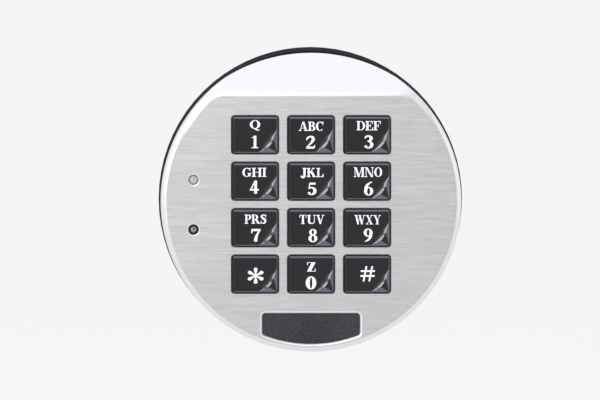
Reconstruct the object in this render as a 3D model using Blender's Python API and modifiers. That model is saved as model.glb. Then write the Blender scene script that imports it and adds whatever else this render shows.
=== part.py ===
"""Round electronic safe lock: a keypad head with twelve push keys and a battery drawer.

The whole head is modelled lying on its back and stood up by one empty at the end. In that face frame X is
to the right and Y is up the safe door, and Z comes straight out of the door towards the user. Z is zero on
the back of the base plate. All sizes are in metres.
"""

import math

import bmesh
import bpy
from mathutils import Matrix, Vector

# Clearances and cutting allowances
GAP = 0.0003
OVERRUN = 0.002

# Smoothness of round pieces
TURN_STEPS = 72
SMALL_STEPS = 16
CORNER_STEPS = 3
ROUNDING_STEPS = 4
SHARP_ANGLE = math.radians(30)

# Bezel: the brushed metal front
BEZEL_ROUNDING = 0.0022
FACE_THICKNESS = 0.0025
SPIGOT_WALL = 0.0015
FACET_RUN = 0.0147
FACET_ANGLE = math.radians(30.5)
OPENING_CHAMFER = 0.00035

# Housing: the black cup behind the bezel
RIM_STEP = 0.0001
DRAFT_FLARE = 0.0010
HOUSING_WALL = 0.0023
FLOOR_THICKNESS = 0.0018
RIM_RISE = 0.0019
HOUSING_CHAMFER = 0.0005
BAY_WALL = 0.0016
PILLAR_RADIUS = 0.0042
PILLAR_INTO_BAY_WALL = 0.0005
PILLAR_KEY_MARGIN = 0.00288

# Base plate: screwed to the safe door
BASE_THICKNESS = 0.0030
BASE_SETBACK = 0.0006
DOOR_SCREW_SPACING = 0.0413
DOOR_HOLE_RADIUS = 0.00225
DOOR_SINK_RADIUS = 0.0043
DOOR_SINK_DEPTH = 0.0021
CABLE_SLOT_WIDTH = 0.0090
CABLE_SLOT_LENGTH = 0.0140
CABLE_SLOT_MARGIN = 0.0023
SLIDE_ON_TRAVEL = 0.0027
HOOK_WIDTH = 0.0120
HOOK_THICKNESS = 0.0020
HOOK_LIP = 0.0024
HOOK_LIP_THICKNESS = 0.0018
HOOK_RIM_MARGIN = 0.0040
LUG_SPREAD = 0.0330
LUG_WIDTH = 0.0070
LUG_THICKNESS = 0.0026
LUG_HEIGHT = 0.0074
LUG_RIM_MARGIN = 0.0006

# Set screws in the underside of the housing
SET_SCREW_RADIUS = 0.0015
SET_SCREW_HEIGHT = 0.0042
SET_SCREW_SUNK = 0.0005
HEX_SOCKET_RADIUS = 0.0009
HEX_SOCKET_DEPTH = 0.0015
HEX_SIDES = 6

# Battery, its terminals and the drawer
BATTERY_WIDTH = 0.0265
BATTERY_DEPTH = 0.0175
BATTERY_BODY_LENGTH = 0.0460
BATTERY_CORNER = 0.0022
TERMINAL_PITCH = 0.0127
TERMINAL_HEIGHT = 0.0023
STUD_RADIUS = 0.0028
CLIP_RADIUS = 0.0041
BATTERY_SIDE_ROOM = 0.0005
TRAY_WALL = 0.0014
TRAY_SIDE_SHARE = 0.62
DRAWER_PANEL = 0.0024
DRAWER_CORNER = 0.0012
BAY_HEADROOM = 0.0006
PULL_GROOVE_WIDTH = 0.0180
PULL_GROOVE_HEIGHT = 0.0034
PULL_GROOVE_DEPTH = 0.0013

# Contact block and its two leaf springs at the inner end of the battery bay
CONTACT_ROOM = 0.0010
CONTACT_BLOCK_DEPTH = 0.0042
LEAF_THICKNESS = 0.0004
LEAF_WIDTH = 0.0050
LEAF_SPAN = 0.0090
LEAF_FOOT = 0.0016

# Inner frame between the battery bay and the electronics
FRAME_THICKNESS = 0.0012
FRAME_WINDOW_MARGIN = 0.0013

# Circuit board and the parts on its back
BOARD_STANDOFF = 0.0028
BOARD_THICKNESS = 0.0016
BOARD_RIM_MARGIN = 0.0025
BOARD_BOSS_GAP = 0.0011
PART_SIDE_MARGIN = 0.0005
CHIP_SIZE = 0.0100
CHIP_THICKNESS = 0.0015
CHIP_CORNER = 0.0003
CHIP_CONTACT_MARGIN = 0.0057
BUZZER_RADIUS = 0.0055
BUZZER_HEIGHT = 0.0055
BUZZER_PORT_RADIUS = 0.0010
CAPACITOR_RADIUS = 0.0032
CAPACITOR_HEIGHT = 0.0078
CAPACITOR_GROOVE = 0.0004
SOCKET_WIDTH = 0.0124
SOCKET_LENGTH = 0.0058
SOCKET_HEIGHT = 0.0070
SOCKET_WALL = 0.0010
SOCKET_FLOOR = 0.0016

# Screws
BEZEL_SCREW_RADIUS = 0.0015
BEZEL_SCREW_HEAD_RADIUS = 0.00275
BEZEL_SCREW_HEAD = 0.0024
BEZEL_SCREW_BITE = 0.0045
BOSS_RADIUS = 0.0034
BOSS_INTO_FACE = 0.0010
BOARD_SCREW_RADIUS = 0.00125
BOARD_SCREW_HEAD_RADIUS = 0.0024
BOARD_SCREW_HEAD = 0.0016
BOARD_SCREW_BITE = 0.0036
BOARD_BOSS_RADIUS = 0.0028
BOARD_BOSS_KEY_MARGIN = 0.00745
HEAD_CHAMFER = 0.0004
PILOT_TIP = 0.0006

# Key mat
MAT_THICKNESS = 0.0012
MAT_BORDER = 0.0012
DOME_BASE_RADIUS = 0.0042
DOME_TOP_RADIUS = 0.0030

# Keys
KEY_WIDTH = 0.0152
KEY_HEIGHT = 0.0122
KEY_COLUMN_GAP = 0.00385
KEY_ROW_GAP = 0.0036
KEY_FIELD_DROP = 0.00102
KEY_CORNER = 0.0008
KEY_TRAVEL = 0.0012
KEY_REST_MARGIN = 0.0001
KEY_FLANGE = 0.0009
KEY_FLANGE_LIP = 0.0009
KEY_SHOULDER = 0.00125
KEY_FLOOR = 0.0016
KEY_ROOF_SLOPE = 0.5
KEY_ROOF_RUN = 0.0026
SCOOP_RADIUS = 0.0064
SCOOP_SWEEP = math.radians(62)
SCOOP_START = 0.0043
SCOOP_DIRECTION = math.radians(-39)
KEY_NAMES = (
    ("key_1", "key_2", "key_3"),
    ("key_4", "key_5", "key_6"),
    ("key_7", "key_8", "key_9"),
    ("key_star", "key_0", "key_hash"),
)

# Indicator lights
LED_RADIUS = 0.0015
LED_FLANGE_RADIUS = 0.0019
LED_FLANGE = 0.0010
LED_SUNK = 0.0003
LED_RIM_MARGIN = 0.0112
LED_UPPER_RISE = 0.0073
LED_LOWER_RISE = -0.0096

# Nameplate
NAMEPLATE_WIDTH = 0.0332
NAMEPLATE_HEIGHT = 0.01035
NAMEPLATE_THICKNESS = 0.0010
NAMEPLATE_SUNK = 0.0001
NAMEPLATE_ARC_RADIUS = 0.0450
NAMEPLATE_RIM_MARGIN = 0.0027
NAMEPLATE_CORNER = 0.0011
NAMEPLATE_ARC_STEPS = 8

# Heights out of the door, each worked out from the pieces below it
BASE_FRONT = BASE_THICKNESS
FLOOR_BACK = BASE_FRONT + GAP
FLOOR_FRONT = FLOOR_BACK + FLOOR_THICKNESS
TRAY_BACK = FLOOR_FRONT + GAP
BATTERY_BACK = TRAY_BACK + TRAY_WALL + GAP
BATTERY_FRONT = BATTERY_BACK + BATTERY_DEPTH
FRAME_BACK = BATTERY_FRONT + BAY_HEADROOM
PILLAR_FRONT = FRAME_BACK - GAP
FRAME_FRONT = FRAME_BACK + FRAME_THICKNESS
BOSS_BACK = FRAME_FRONT + GAP
HOUSING_FRONT = FRAME_FRONT + RIM_RISE
SHOULDER_BACK = HOUSING_FRONT + GAP
SPIGOT_BACK = PILLAR_FRONT + GAP
BOARD_BACK = FRAME_FRONT + BOARD_STANDOFF
BOARD_FRONT = BOARD_BACK + BOARD_THICKNESS
MAT_BACK = BOARD_FRONT + GAP
MAT_FRONT = MAT_BACK + MAT_THICKNESS
FLANGE_BACK = MAT_FRONT + KEY_REST_MARGIN + KEY_TRAVEL + KEY_TRAVEL
FLANGE_FRONT = FLANGE_BACK + KEY_FLANGE
FACE_BACK = FLANGE_FRONT + GAP
FACE = FACE_BACK + FACE_THICKNESS
SET_SCREW_AXIS = BASE_FRONT + SET_SCREW_HEIGHT

# The field of keys
KEY_PITCH_X = KEY_WIDTH + KEY_COLUMN_GAP
KEY_PITCH_Y = KEY_HEIGHT + KEY_ROW_GAP
KEY_FIELD_HALF_WIDTH = (len(KEY_NAMES[0]) * KEY_PITCH_X - KEY_COLUMN_GAP) / 2
KEY_FIELD_HALF_HEIGHT = (len(KEY_NAMES) * KEY_PITCH_Y - KEY_ROW_GAP) / 2
KEY_FIELD_LOW = KEY_FIELD_HALF_HEIGHT + KEY_FIELD_DROP

# The pillars, beside the battery bay and just clear of the outer rows of keys
TRAY_HALF_WIDTH = BATTERY_WIDTH / 2 + BATTERY_SIDE_ROOM + TRAY_WALL
BAY_HALF_WIDTH = TRAY_HALF_WIDTH + GAP
BAY_OUTER = BAY_HALF_WIDTH + BAY_WALL
PILLAR_SPREAD = BAY_OUTER + PILLAR_RADIUS - PILLAR_INTO_BAY_WALL
PILLAR_RISE = KEY_FIELD_LOW + KEY_FLANGE_LIP + PILLAR_KEY_MARGIN + BOSS_RADIUS
PILLAR_REACH = math.hypot(PILLAR_SPREAD, PILLAR_RISE)

# The round pieces, each worked out from the ring of pillars
HOUSING_BORE = PILLAR_REACH + PILLAR_RADIUS + SPIGOT_WALL
HOUSING_RADIUS = HOUSING_BORE + HOUSING_WALL
HOUSING_BACK_RADIUS = HOUSING_RADIUS + DRAFT_FLARE
BEZEL_RADIUS = HOUSING_RADIUS - RIM_STEP
SPIGOT_RADIUS = HOUSING_BORE - GAP
BEZEL_BORE = SPIGOT_RADIUS - SPIGOT_WALL
FRAME_RADIUS = BEZEL_BORE - GAP
BOARD_RADIUS = BEZEL_BORE - BOARD_RIM_MARGIN
BASE_RADIUS = HOUSING_BACK_RADIUS - BASE_SETBACK
FACET_EDGE = BEZEL_RADIUS - FACET_RUN

# The battery bay from the rim upwards, and what stands above it
BATTERY_START = DRAWER_PANEL + GAP - HOUSING_RADIUS
BATTERY_SHOULDER = BATTERY_START + BATTERY_BODY_LENGTH
TERMINAL_END = BATTERY_SHOULDER + TERMINAL_HEIGHT
CONTACT_START = TERMINAL_END + CONTACT_ROOM
END_WALL_START = CONTACT_START + CONTACT_BLOCK_DEPTH + GAP
END_WALL_END = END_WALL_START + BAY_WALL
CABLE_SLOT_RISE = END_WALL_END + CABLE_SLOT_MARGIN + CABLE_SLOT_LENGTH / 2

FRAME_WINDOW_TOP = PILLAR_RISE - PILLAR_RADIUS - GAP
FRAME_WINDOW_WIDTH = 2 * math.sqrt((FRAME_RADIUS - FRAME_WINDOW_MARGIN) ** 2 - FRAME_WINDOW_TOP**2)

# The board, its bosses beside the keys, and the parts on its back
BOARD_HALF_HEIGHT = PILLAR_RISE - BOSS_RADIUS - BOARD_BOSS_GAP
BOARD_BOSS_REACH = BOARD_RADIUS - BOARD_SCREW_HEAD_RADIUS - GAP
BOARD_BOSS_SPREAD = KEY_FIELD_HALF_WIDTH + BOARD_BOSS_KEY_MARGIN
BOARD_BOSS_RISE = math.sqrt(BOARD_BOSS_REACH**2 - BOARD_BOSS_SPREAD**2)
PART_RISE = (TERMINAL_END + FRAME_WINDOW_TOP) / 2
CAPACITOR_PLACE = (BAY_OUTER + PART_SIDE_MARGIN + CAPACITOR_RADIUS, PART_RISE)
BUZZER_PLACE = (-BAY_OUTER - PART_SIDE_MARGIN - BUZZER_RADIUS, PART_RISE)
CHIP_PLACE = (0, CONTACT_START - CHIP_CONTACT_MARGIN - CHIP_SIZE / 2)

# What holds the housing on the base plate
HOOK_TOP = BEZEL_BORE - HOOK_RIM_MARGIN
LUG_TOP = -math.sqrt((HOUSING_BORE - LUG_RIM_MARGIN) ** 2 - (LUG_SPREAD + LUG_WIDTH / 2) ** 2)

# Face frame stood upright: its Z becomes the world's -Y, and its Y the world's Z.
UPRIGHT = math.radians(90)

# Finishes: colour, roughness and metallic value
FINISHES = {
    "brushed_metal": ((0.62, 0.62, 0.63), 0.32, 1.0),
    "black_plastic": ((0.030, 0.032, 0.040), 0.42, 0.0),
    "gloss_black": ((0.020, 0.020, 0.024), 0.16, 0.0),
    "matte_black": ((0.045, 0.046, 0.050), 0.75, 0.0),
    "steel": ((0.50, 0.50, 0.52), 0.30, 1.0),
    "spring_brass": ((0.75, 0.58, 0.30), 0.30, 1.0),
    "silicone": ((0.55, 0.56, 0.58), 0.65, 0.0),
    "board_green": ((0.03, 0.16, 0.08), 0.45, 0.0),
    "battery_jacket": ((0.10, 0.13, 0.20), 0.35, 0.3),
    "clear_lens": ((0.70, 0.72, 0.74), 0.12, 0.0),
    "dark_lens": ((0.05, 0.04, 0.05), 0.12, 0.0),
    "cream_plastic": ((0.75, 0.72, 0.62), 0.50, 0.0),
}


def clear_scene():
    for obj in list(bpy.data.objects):
        bpy.data.objects.remove(obj, do_unlink=True)


def collection(name, hidden=False):
    made = bpy.data.collections.new(name)
    made.hide_render = hidden
    bpy.context.scene.collection.children.link(made)
    return made


def finish(name):
    """The material of this finish, made when it is first asked for."""
    if name in bpy.data.materials:
        return bpy.data.materials[name]
    colour, roughness, metallic = FINISHES[name]
    material = bpy.data.materials.new(name)
    material.use_nodes = True
    shader = material.node_tree.nodes["Principled BSDF"]
    shader.inputs["Base Color"].default_value = (*colour, 1)
    shader.inputs["Roughness"].default_value = roughness
    shader.inputs["Metallic"].default_value = metallic
    return material


class Bench:
    """The two collections, and the empty that stands the finished head upright."""

    def __init__(self):
        self.parts = collection("safe_lock")
        self.cutters = collection("cutters", hidden=True)
        self.axes = bpy.data.objects.new("face_frame", None)
        self.axes.rotation_euler = (UPRIGHT, 0, 0)
        self.parts.objects.link(self.axes)

    def part(self, name, mesh, material, place=(0, 0, 0)):
        """A visible piece of the lock."""
        obj = bpy.data.objects.new(name, mesh)
        obj.location = place
        obj.parent = self.axes
        if not mesh.materials:
            mesh.materials.append(finish(material))
        self.parts.objects.link(obj)
        return obj

    def cutter(self, name, mesh, place=(0, 0, 0), turn=(0, 0, 0)):
        """A helper body that cuts or joins, and is left out of the lock."""
        obj = bpy.data.objects.new(name, mesh)
        obj.location = place
        obj.rotation_euler = turn
        obj.parent = self.axes
        obj.hide_render = True
        obj.display_type = "WIRE"
        self.cutters.objects.link(obj)
        return obj

    def group(self, name, members):
        """A collection of cutters that one Boolean takes together."""
        made = bpy.data.collections.new(name)
        self.cutters.children.link(made)
        for obj in members:
            self.cutters.objects.unlink(obj)
            made.objects.link(obj)
        return made


def boolean(target, operand, operation="DIFFERENCE"):
    """Cuts, joins or intersects the target with a cutter, or with a collection of cutters."""
    modifier = target.modifiers.new(operation.lower(), "BOOLEAN")
    modifier.operation = operation
    modifier.solver = "EXACT"
    if isinstance(operand, bpy.types.Collection):
        modifier.operand_type = "COLLECTION"
        modifier.collection = operand
    else:
        modifier.object = operand


def smooth(mesh):
    mesh.shade_smooth()
    mesh.set_sharp_from_angle(angle=SHARP_ANGLE)


def mesh_from(bm, name):
    bmesh.ops.recalc_face_normals(bm, faces=bm.faces[:])
    mesh = bpy.data.meshes.new(name)
    bm.to_mesh(mesh)
    bm.free()
    smooth(mesh)
    return mesh


def lofted(name, sections):
    """A closed solid through stacked outlines of equal counts: sections holds (outline, height)."""
    bm = bmesh.new()
    rings = []
    for outline, height in sections:
        points = [bm.verts.new((x, y, height)) for x, y in outline]
        rings.append([bm.edges.new(pair) for pair in zip(points, points[1:] + points[:1])])
    for lower, upper in zip(rings, rings[1:]):
        bmesh.ops.bridge_loops(bm, edges=lower + upper)
    for ring in (rings[0], rings[-1]):
        bmesh.ops.contextual_create(bm, geom=ring)
    return mesh_from(bm, name)


def prism(name, outline, back, front):
    return lofted(name, ((outline, back), (outline, front)))


def block(name, left, right, low, high, back, front):
    """A box between these sides, made from Blender's cube."""
    bm = bmesh.new()
    bmesh.ops.create_cube(bm, size=1)
    size = Vector((right - left, high - low, front - back))
    centre = Vector(((left + right) / 2, (low + high) / 2, (back + front) / 2))
    bmesh.ops.transform(bm, matrix=Matrix.LocRotScale(centre, None, size), verts=bm.verts[:])
    return mesh_from(bm, name)


def cone(name, back_radius, front_radius, back, front, steps=SMALL_STEPS):
    """A capped cone or cylinder about Z between two heights."""
    bm = bmesh.new()
    bmesh.ops.create_cone(
        bm, cap_ends=True, segments=steps, radius1=back_radius, radius2=front_radius, depth=front - back
    )
    bmesh.ops.translate(bm, vec=(0, 0, (back + front) / 2), verts=bm.verts[:])
    return mesh_from(bm, name)


def turned(name, profile, steps=TURN_STEPS, closed=False):
    """A shape turned about Z. The profile of (radius, height) runs down its outer side."""
    bm = bmesh.new()
    points = [bm.verts.new((radius, 0, height)) for radius, height in profile]
    for pair in zip(points, points[1:]):
        bm.edges.new(pair)
    if closed:
        bm.edges.new((points[-1], points[0]))
    mesh = bpy.data.meshes.new(name)
    bm.to_mesh(mesh)
    bm.free()
    obj = bpy.data.objects.new(name, mesh)
    bpy.context.scene.collection.objects.link(obj)
    screw = obj.modifiers.new("screw", "SCREW")
    screw.steps = steps
    screw.render_steps = steps
    screw.use_merge_vertices = True
    screw.merge_threshold = 0.00001
    bpy.context.view_layer.update()
    made = bpy.data.meshes.new_from_object(obj.evaluated_get(bpy.context.evaluated_depsgraph_get()))
    made.name = name
    bpy.data.objects.remove(obj, do_unlink=True)
    smooth(made)
    return made


def baked(obj):
    """The evaluated mesh of a cutter whose modifiers have done their work."""
    bpy.context.view_layer.update()
    mesh = bpy.data.meshes.new_from_object(obj.evaluated_get(bpy.context.evaluated_depsgraph_get()))
    mesh.name = obj.name
    return mesh


def arc(centre, radius, start, end, steps):
    """Points of an arc about a centre, from one angle to another."""
    turn = (end - start) / steps
    return [
        (
            centre[0] + radius * math.cos(start + turn * step),
            centre[1] + radius * math.sin(start + turn * step),
        )
        for step in range(steps + 1)
    ]


def rounded_rectangle(width, height, corner, steps=CORNER_STEPS):
    """The outline of a rectangle with round corners, anticlockwise from its right side."""
    outline = []
    for quarter, (side, top) in enumerate(((1, 1), (-1, 1), (-1, -1), (1, -1))):
        centre = (side * (width / 2 - corner), top * (height / 2 - corner))
        start = math.pi / 2 * quarter
        outline += arc(centre, corner, start, start + math.pi / 2, steps)
    return outline


def shifted(outline, right, up):
    return [(x + right, y + up) for x, y in outline]


def four_corners(spread, rise):
    """Places at the corners of a rectangle about the centre, clockwise from the upper left."""
    return ((-spread, rise), (spread, rise), (spread, -rise), (-spread, -rise))


def key_places():
    """Each key's name and the centre of its opening."""
    middle_column = (len(KEY_NAMES[0]) - 1) / 2
    middle_row = (len(KEY_NAMES) - 1) / 2
    for row, names in enumerate(KEY_NAMES):
        for column, name in enumerate(names):
            right = (column - middle_column) * KEY_PITCH_X
            up = (middle_row - row) * KEY_PITCH_Y - KEY_FIELD_DROP
            yield name, (right, up)


def led_places():
    left = LED_RIM_MARGIN - BEZEL_RADIUS
    return (("led_upper", (left, LED_UPPER_RISE)), ("led_lower", (left, LED_LOWER_RISE)))


def pillar_places():
    return four_corners(PILLAR_SPREAD, PILLAR_RISE)


def board_boss_places():
    return four_corners(BOARD_BOSS_SPREAD, BOARD_BOSS_RISE)


def nameplate_outline(margin=0):
    """The badge: straight top and sides, and a bottom that follows a wide arc. A margin makes it larger."""
    half = NAMEPLATE_WIDTH / 2 + margin
    radius = NAMEPLATE_ARC_RADIUS + margin
    corner = NAMEPLATE_CORNER + margin
    bottom = NAMEPLATE_RIM_MARGIN - BEZEL_RADIUS
    arc_centre = (0, bottom + NAMEPLATE_ARC_RADIUS)
    top = bottom + NAMEPLATE_HEIGHT + margin
    tilt = math.asin((half - corner) / (radius - corner))
    low = arc_centre[1] - (radius - corner) * math.cos(tilt)
    down = -math.pi / 2
    outline = arc((half - corner, top - corner), corner, 0, math.pi / 2, CORNER_STEPS)
    outline += arc((corner - half, top - corner), corner, math.pi / 2, math.pi, CORNER_STEPS)
    outline += arc((corner - half, low), corner, math.pi, 2 * math.pi + down - tilt, CORNER_STEPS)
    bottom_arc = arc(arc_centre, radius, down - tilt, down + tilt, NAMEPLATE_ARC_STEPS)
    outline += bottom_arc[1:-1]
    outline += arc((half - corner, low), corner, down + tilt, 0, CORNER_STEPS)
    return outline


def facet_cutter(bench, name, depth):
    """A block above the sloped facet, which lies this deep under the outer facet."""
    reach = BEZEL_RADIUS
    mesh = block(name, -2 * reach, 2 * reach, -reach, 2 * reach, -depth, reach)
    return bench.cutter(name, mesh, (0, FACET_EDGE, FACE), (-FACET_ANGLE, 0, 0))


def bezel_outer():
    """The bezel's outer form: face, rounded rim, side, shoulder and spigot."""
    centre = (BEZEL_RADIUS - BEZEL_ROUNDING, FACE - BEZEL_ROUNDING)
    rounding = arc(centre, BEZEL_ROUNDING, math.pi / 2, 0, ROUNDING_STEPS)
    return turned(
        "bezel_outer",
        [(0, FACE)]
        + rounding
        + [
            (BEZEL_RADIUS, SHOULDER_BACK),
            (SPIGOT_RADIUS, SHOULDER_BACK),
            (SPIGOT_RADIUS, SPIGOT_BACK),
            (0, SPIGOT_BACK),
        ],
    )


def bezel_cavity(bench):
    """The hollow of the bezel, which follows the facet at one wall's depth."""
    mouth = SPIGOT_BACK - OVERRUN
    profile = ((0, FACE_BACK), (BEZEL_BORE, FACE_BACK), (BEZEL_BORE, mouth), (0, mouth))
    hollow = turned("bezel_hollow", profile)
    cavity = bench.cutter("bezel_cavity", hollow)
    boolean(cavity, facet_cutter(bench, "inner_facet", FACE_THICKNESS))
    return cavity


def screw_boss(bench, name, radius, back, place):
    return bench.cutter(name, cone(name, radius, radius, back, FACE_BACK + BOSS_INTO_FACE), (*place, 0))


def pilot_hole(bench, name, radius, back, depth, place):
    hole = cone(name, radius, radius, back - OVERRUN, back + depth)
    return bench.cutter(name, hole, (*place, 0))


def key_opening(bench, name, place):
    """A key's opening, with a small chamfer at the face."""
    inner = rounded_rectangle(KEY_WIDTH + 2 * GAP, KEY_HEIGHT + 2 * GAP, KEY_CORNER + GAP)
    flare = 2 * (GAP + OPENING_CHAMFER)
    outer = rounded_rectangle(KEY_WIDTH + flare, KEY_HEIGHT + flare, KEY_CORNER + flare / 2)
    sections = (
        (inner, FACE_BACK - OVERRUN),
        (inner, FACE - OPENING_CHAMFER),
        (outer, FACE),
        (outer, FACE + OVERRUN),
    )
    return bench.cutter(name, lofted(name, sections), (*place, 0))


def build_bezel(bench):
    bezel = bench.part("front_bezel", bezel_outer(), "brushed_metal")
    boolean(bezel, bezel_cavity(bench))
    bosses = [
        screw_boss(bench, f"pillar_boss_{number}", BOSS_RADIUS, BOSS_BACK, place)
        for number, place in enumerate(pillar_places(), 1)
    ]
    bosses += [
        screw_boss(bench, f"board_boss_{number}", BOARD_BOSS_RADIUS, BOARD_FRONT + GAP, place)
        for number, place in enumerate(board_boss_places(), 1)
    ]
    boolean(bezel, bench.group("bezel_bosses", bosses), "UNION")
    boolean(bezel, facet_cutter(bench, "outer_facet", 0))
    cuts = [key_opening(bench, f"{name}_opening", place) for name, place in key_places()]
    cuts += [
        pilot_hole(
            bench,
            f"bezel_pilot_{number}",
            BEZEL_SCREW_RADIUS + GAP,
            BOSS_BACK,
            BEZEL_SCREW_BITE + PILOT_TIP,
            place,
        )
        for number, place in enumerate(pillar_places(), 1)
    ]
    cuts += [
        pilot_hole(
            bench,
            f"board_pilot_{number}",
            BOARD_SCREW_RADIUS + GAP,
            BOARD_FRONT + GAP,
            BOARD_SCREW_BITE + PILOT_TIP,
            place,
        )
        for number, place in enumerate(board_boss_places(), 1)
    ]
    for name, place in led_places():
        hole = cone(f"{name}_hole", LED_RADIUS + GAP, LED_RADIUS + GAP, FACE_BACK - OVERRUN, FACE + OVERRUN)
        cuts.append(bench.cutter(f"{name}_hole", hole, (*place, 0)))
    recess_floor = FACE - NAMEPLATE_SUNK - NAMEPLATE_THICKNESS - GAP
    recess = prism("nameplate_recess", nameplate_outline(GAP), recess_floor, FACE + OVERRUN)
    cuts.append(bench.cutter("nameplate_recess", recess))
    boolean(bezel, bench.group("bezel_cuts", cuts))


def build_nameplate(bench):
    front = FACE - NAMEPLATE_SUNK
    plate = prism("nameplate", nameplate_outline(), front - NAMEPLATE_THICKNESS, front)
    bench.part("nameplate", plate, "matte_black")


def scoop_profile():
    """The side view of what is scooped off a key's top: flat first, then an arc up to the corner."""
    reach = KEY_WIDTH + KEY_HEIGHT
    rise = arc((0, SCOOP_RADIUS), SCOOP_RADIUS, -math.pi / 2, SCOOP_SWEEP - math.pi / 2, 2 * ROUNDING_STEPS)
    return [(-reach, 0), *rise, (rise[-1][0], reach), (-reach, reach)]


def key_mesh(bench):
    """One key cap, whose height is counted from the face and whose origin is on its axis of travel."""
    body = rounded_rectangle(KEY_WIDTH, KEY_HEIGHT, KEY_CORNER)
    flange = rounded_rectangle(
        KEY_WIDTH + 2 * KEY_FLANGE_LIP, KEY_HEIGHT + 2 * KEY_FLANGE_LIP, KEY_CORNER + KEY_FLANGE_LIP
    )
    roof = rounded_rectangle(KEY_WIDTH - 2 * KEY_ROOF_RUN, KEY_HEIGHT - 2 * KEY_ROOF_RUN, KEY_CORNER)
    sections = (
        (flange, FLANGE_BACK - FACE),
        (flange, FLANGE_FRONT - FACE),
        (body, FLANGE_FRONT - FACE),
        (body, KEY_SHOULDER),
        (roof, KEY_SHOULDER + KEY_ROOF_RUN * KEY_ROOF_SLOPE),
    )
    blank = bench.cutter("key_blank", lofted("key_blank", sections))
    reach = KEY_WIDTH + KEY_HEIGHT
    scoop = bench.cutter("key_scoop", prism("key_scoop", scoop_profile(), -reach, reach))
    along = Vector((math.cos(SCOOP_DIRECTION), math.sin(SCOOP_DIRECTION), 0))
    up = Vector((0, 0, 1))
    axes = Matrix((along, up, along.cross(up))).transposed()
    scoop.rotation_euler = axes.to_euler()
    scoop.location = along * SCOOP_START + up * KEY_FLOOR
    boolean(blank, scoop)
    mesh = baked(blank)
    smooth(mesh)
    return mesh


def build_keys(bench):
    mesh = key_mesh(bench)
    for name, place in key_places():
        bench.part(name, mesh, "gloss_black", (*place, FACE))


def build_key_mat(bench):
    right = KEY_FIELD_HALF_WIDTH + MAT_BORDER
    top = KEY_FIELD_HALF_HEIGHT - KEY_FIELD_DROP + MAT_BORDER
    bottom = -KEY_FIELD_LOW - MAT_BORDER
    mat = bench.part("key_mat", block("key_mat", -right, right, bottom, top, MAT_BACK, MAT_FRONT), "silicone")
    dome_front = FLANGE_BACK - GAP
    dome = cone("dome", DOME_BASE_RADIUS, DOME_TOP_RADIUS, MAT_FRONT - MAT_THICKNESS / 2, dome_front)
    domes = [bench.cutter(f"{name}_dome", dome, (*place, 0)) for name, place in key_places()]
    boolean(mat, bench.group("domes", domes), "UNION")


def build_leds(bench):
    profile = (
        (0, FACE - LED_SUNK),
        (LED_RADIUS * math.sin(math.pi / 4), FACE - LED_SUNK - LED_RADIUS * (1 - math.cos(math.pi / 4)) / 2),
        (LED_RADIUS, FACE - LED_SUNK - LED_RADIUS / 2),
        (LED_RADIUS, MAT_BACK + LED_FLANGE),
        (LED_FLANGE_RADIUS, MAT_BACK + LED_FLANGE),
        (LED_FLANGE_RADIUS, MAT_BACK),
        (0, MAT_BACK),
    )
    for (name, place), material in zip(led_places(), ("clear_lens", "dark_lens")):
        bench.part(name, turned(name, profile, SMALL_STEPS), material, (*place, 0))


def build_board(bench):
    disc = cone("circuit_board", BOARD_RADIUS, BOARD_RADIUS, BOARD_BACK, BOARD_FRONT, TURN_STEPS)
    board = bench.part("circuit_board", disc, "board_green")
    reach = 2 * BOARD_RADIUS
    band = block("board_band", -reach, reach, -BOARD_HALF_HEIGHT, BOARD_HALF_HEIGHT, 0, FACE)
    boolean(board, bench.cutter("board_band", band), "INTERSECT")
    hole = cone("board_hole", BOARD_SCREW_RADIUS + GAP, BOARD_SCREW_RADIUS + GAP, 0, FACE)
    holes = [
        bench.cutter(f"board_hole_{number}", hole, (*place, 0))
        for number, place in enumerate(board_boss_places(), 1)
    ]
    boolean(board, bench.group("board_holes", holes))


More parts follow.
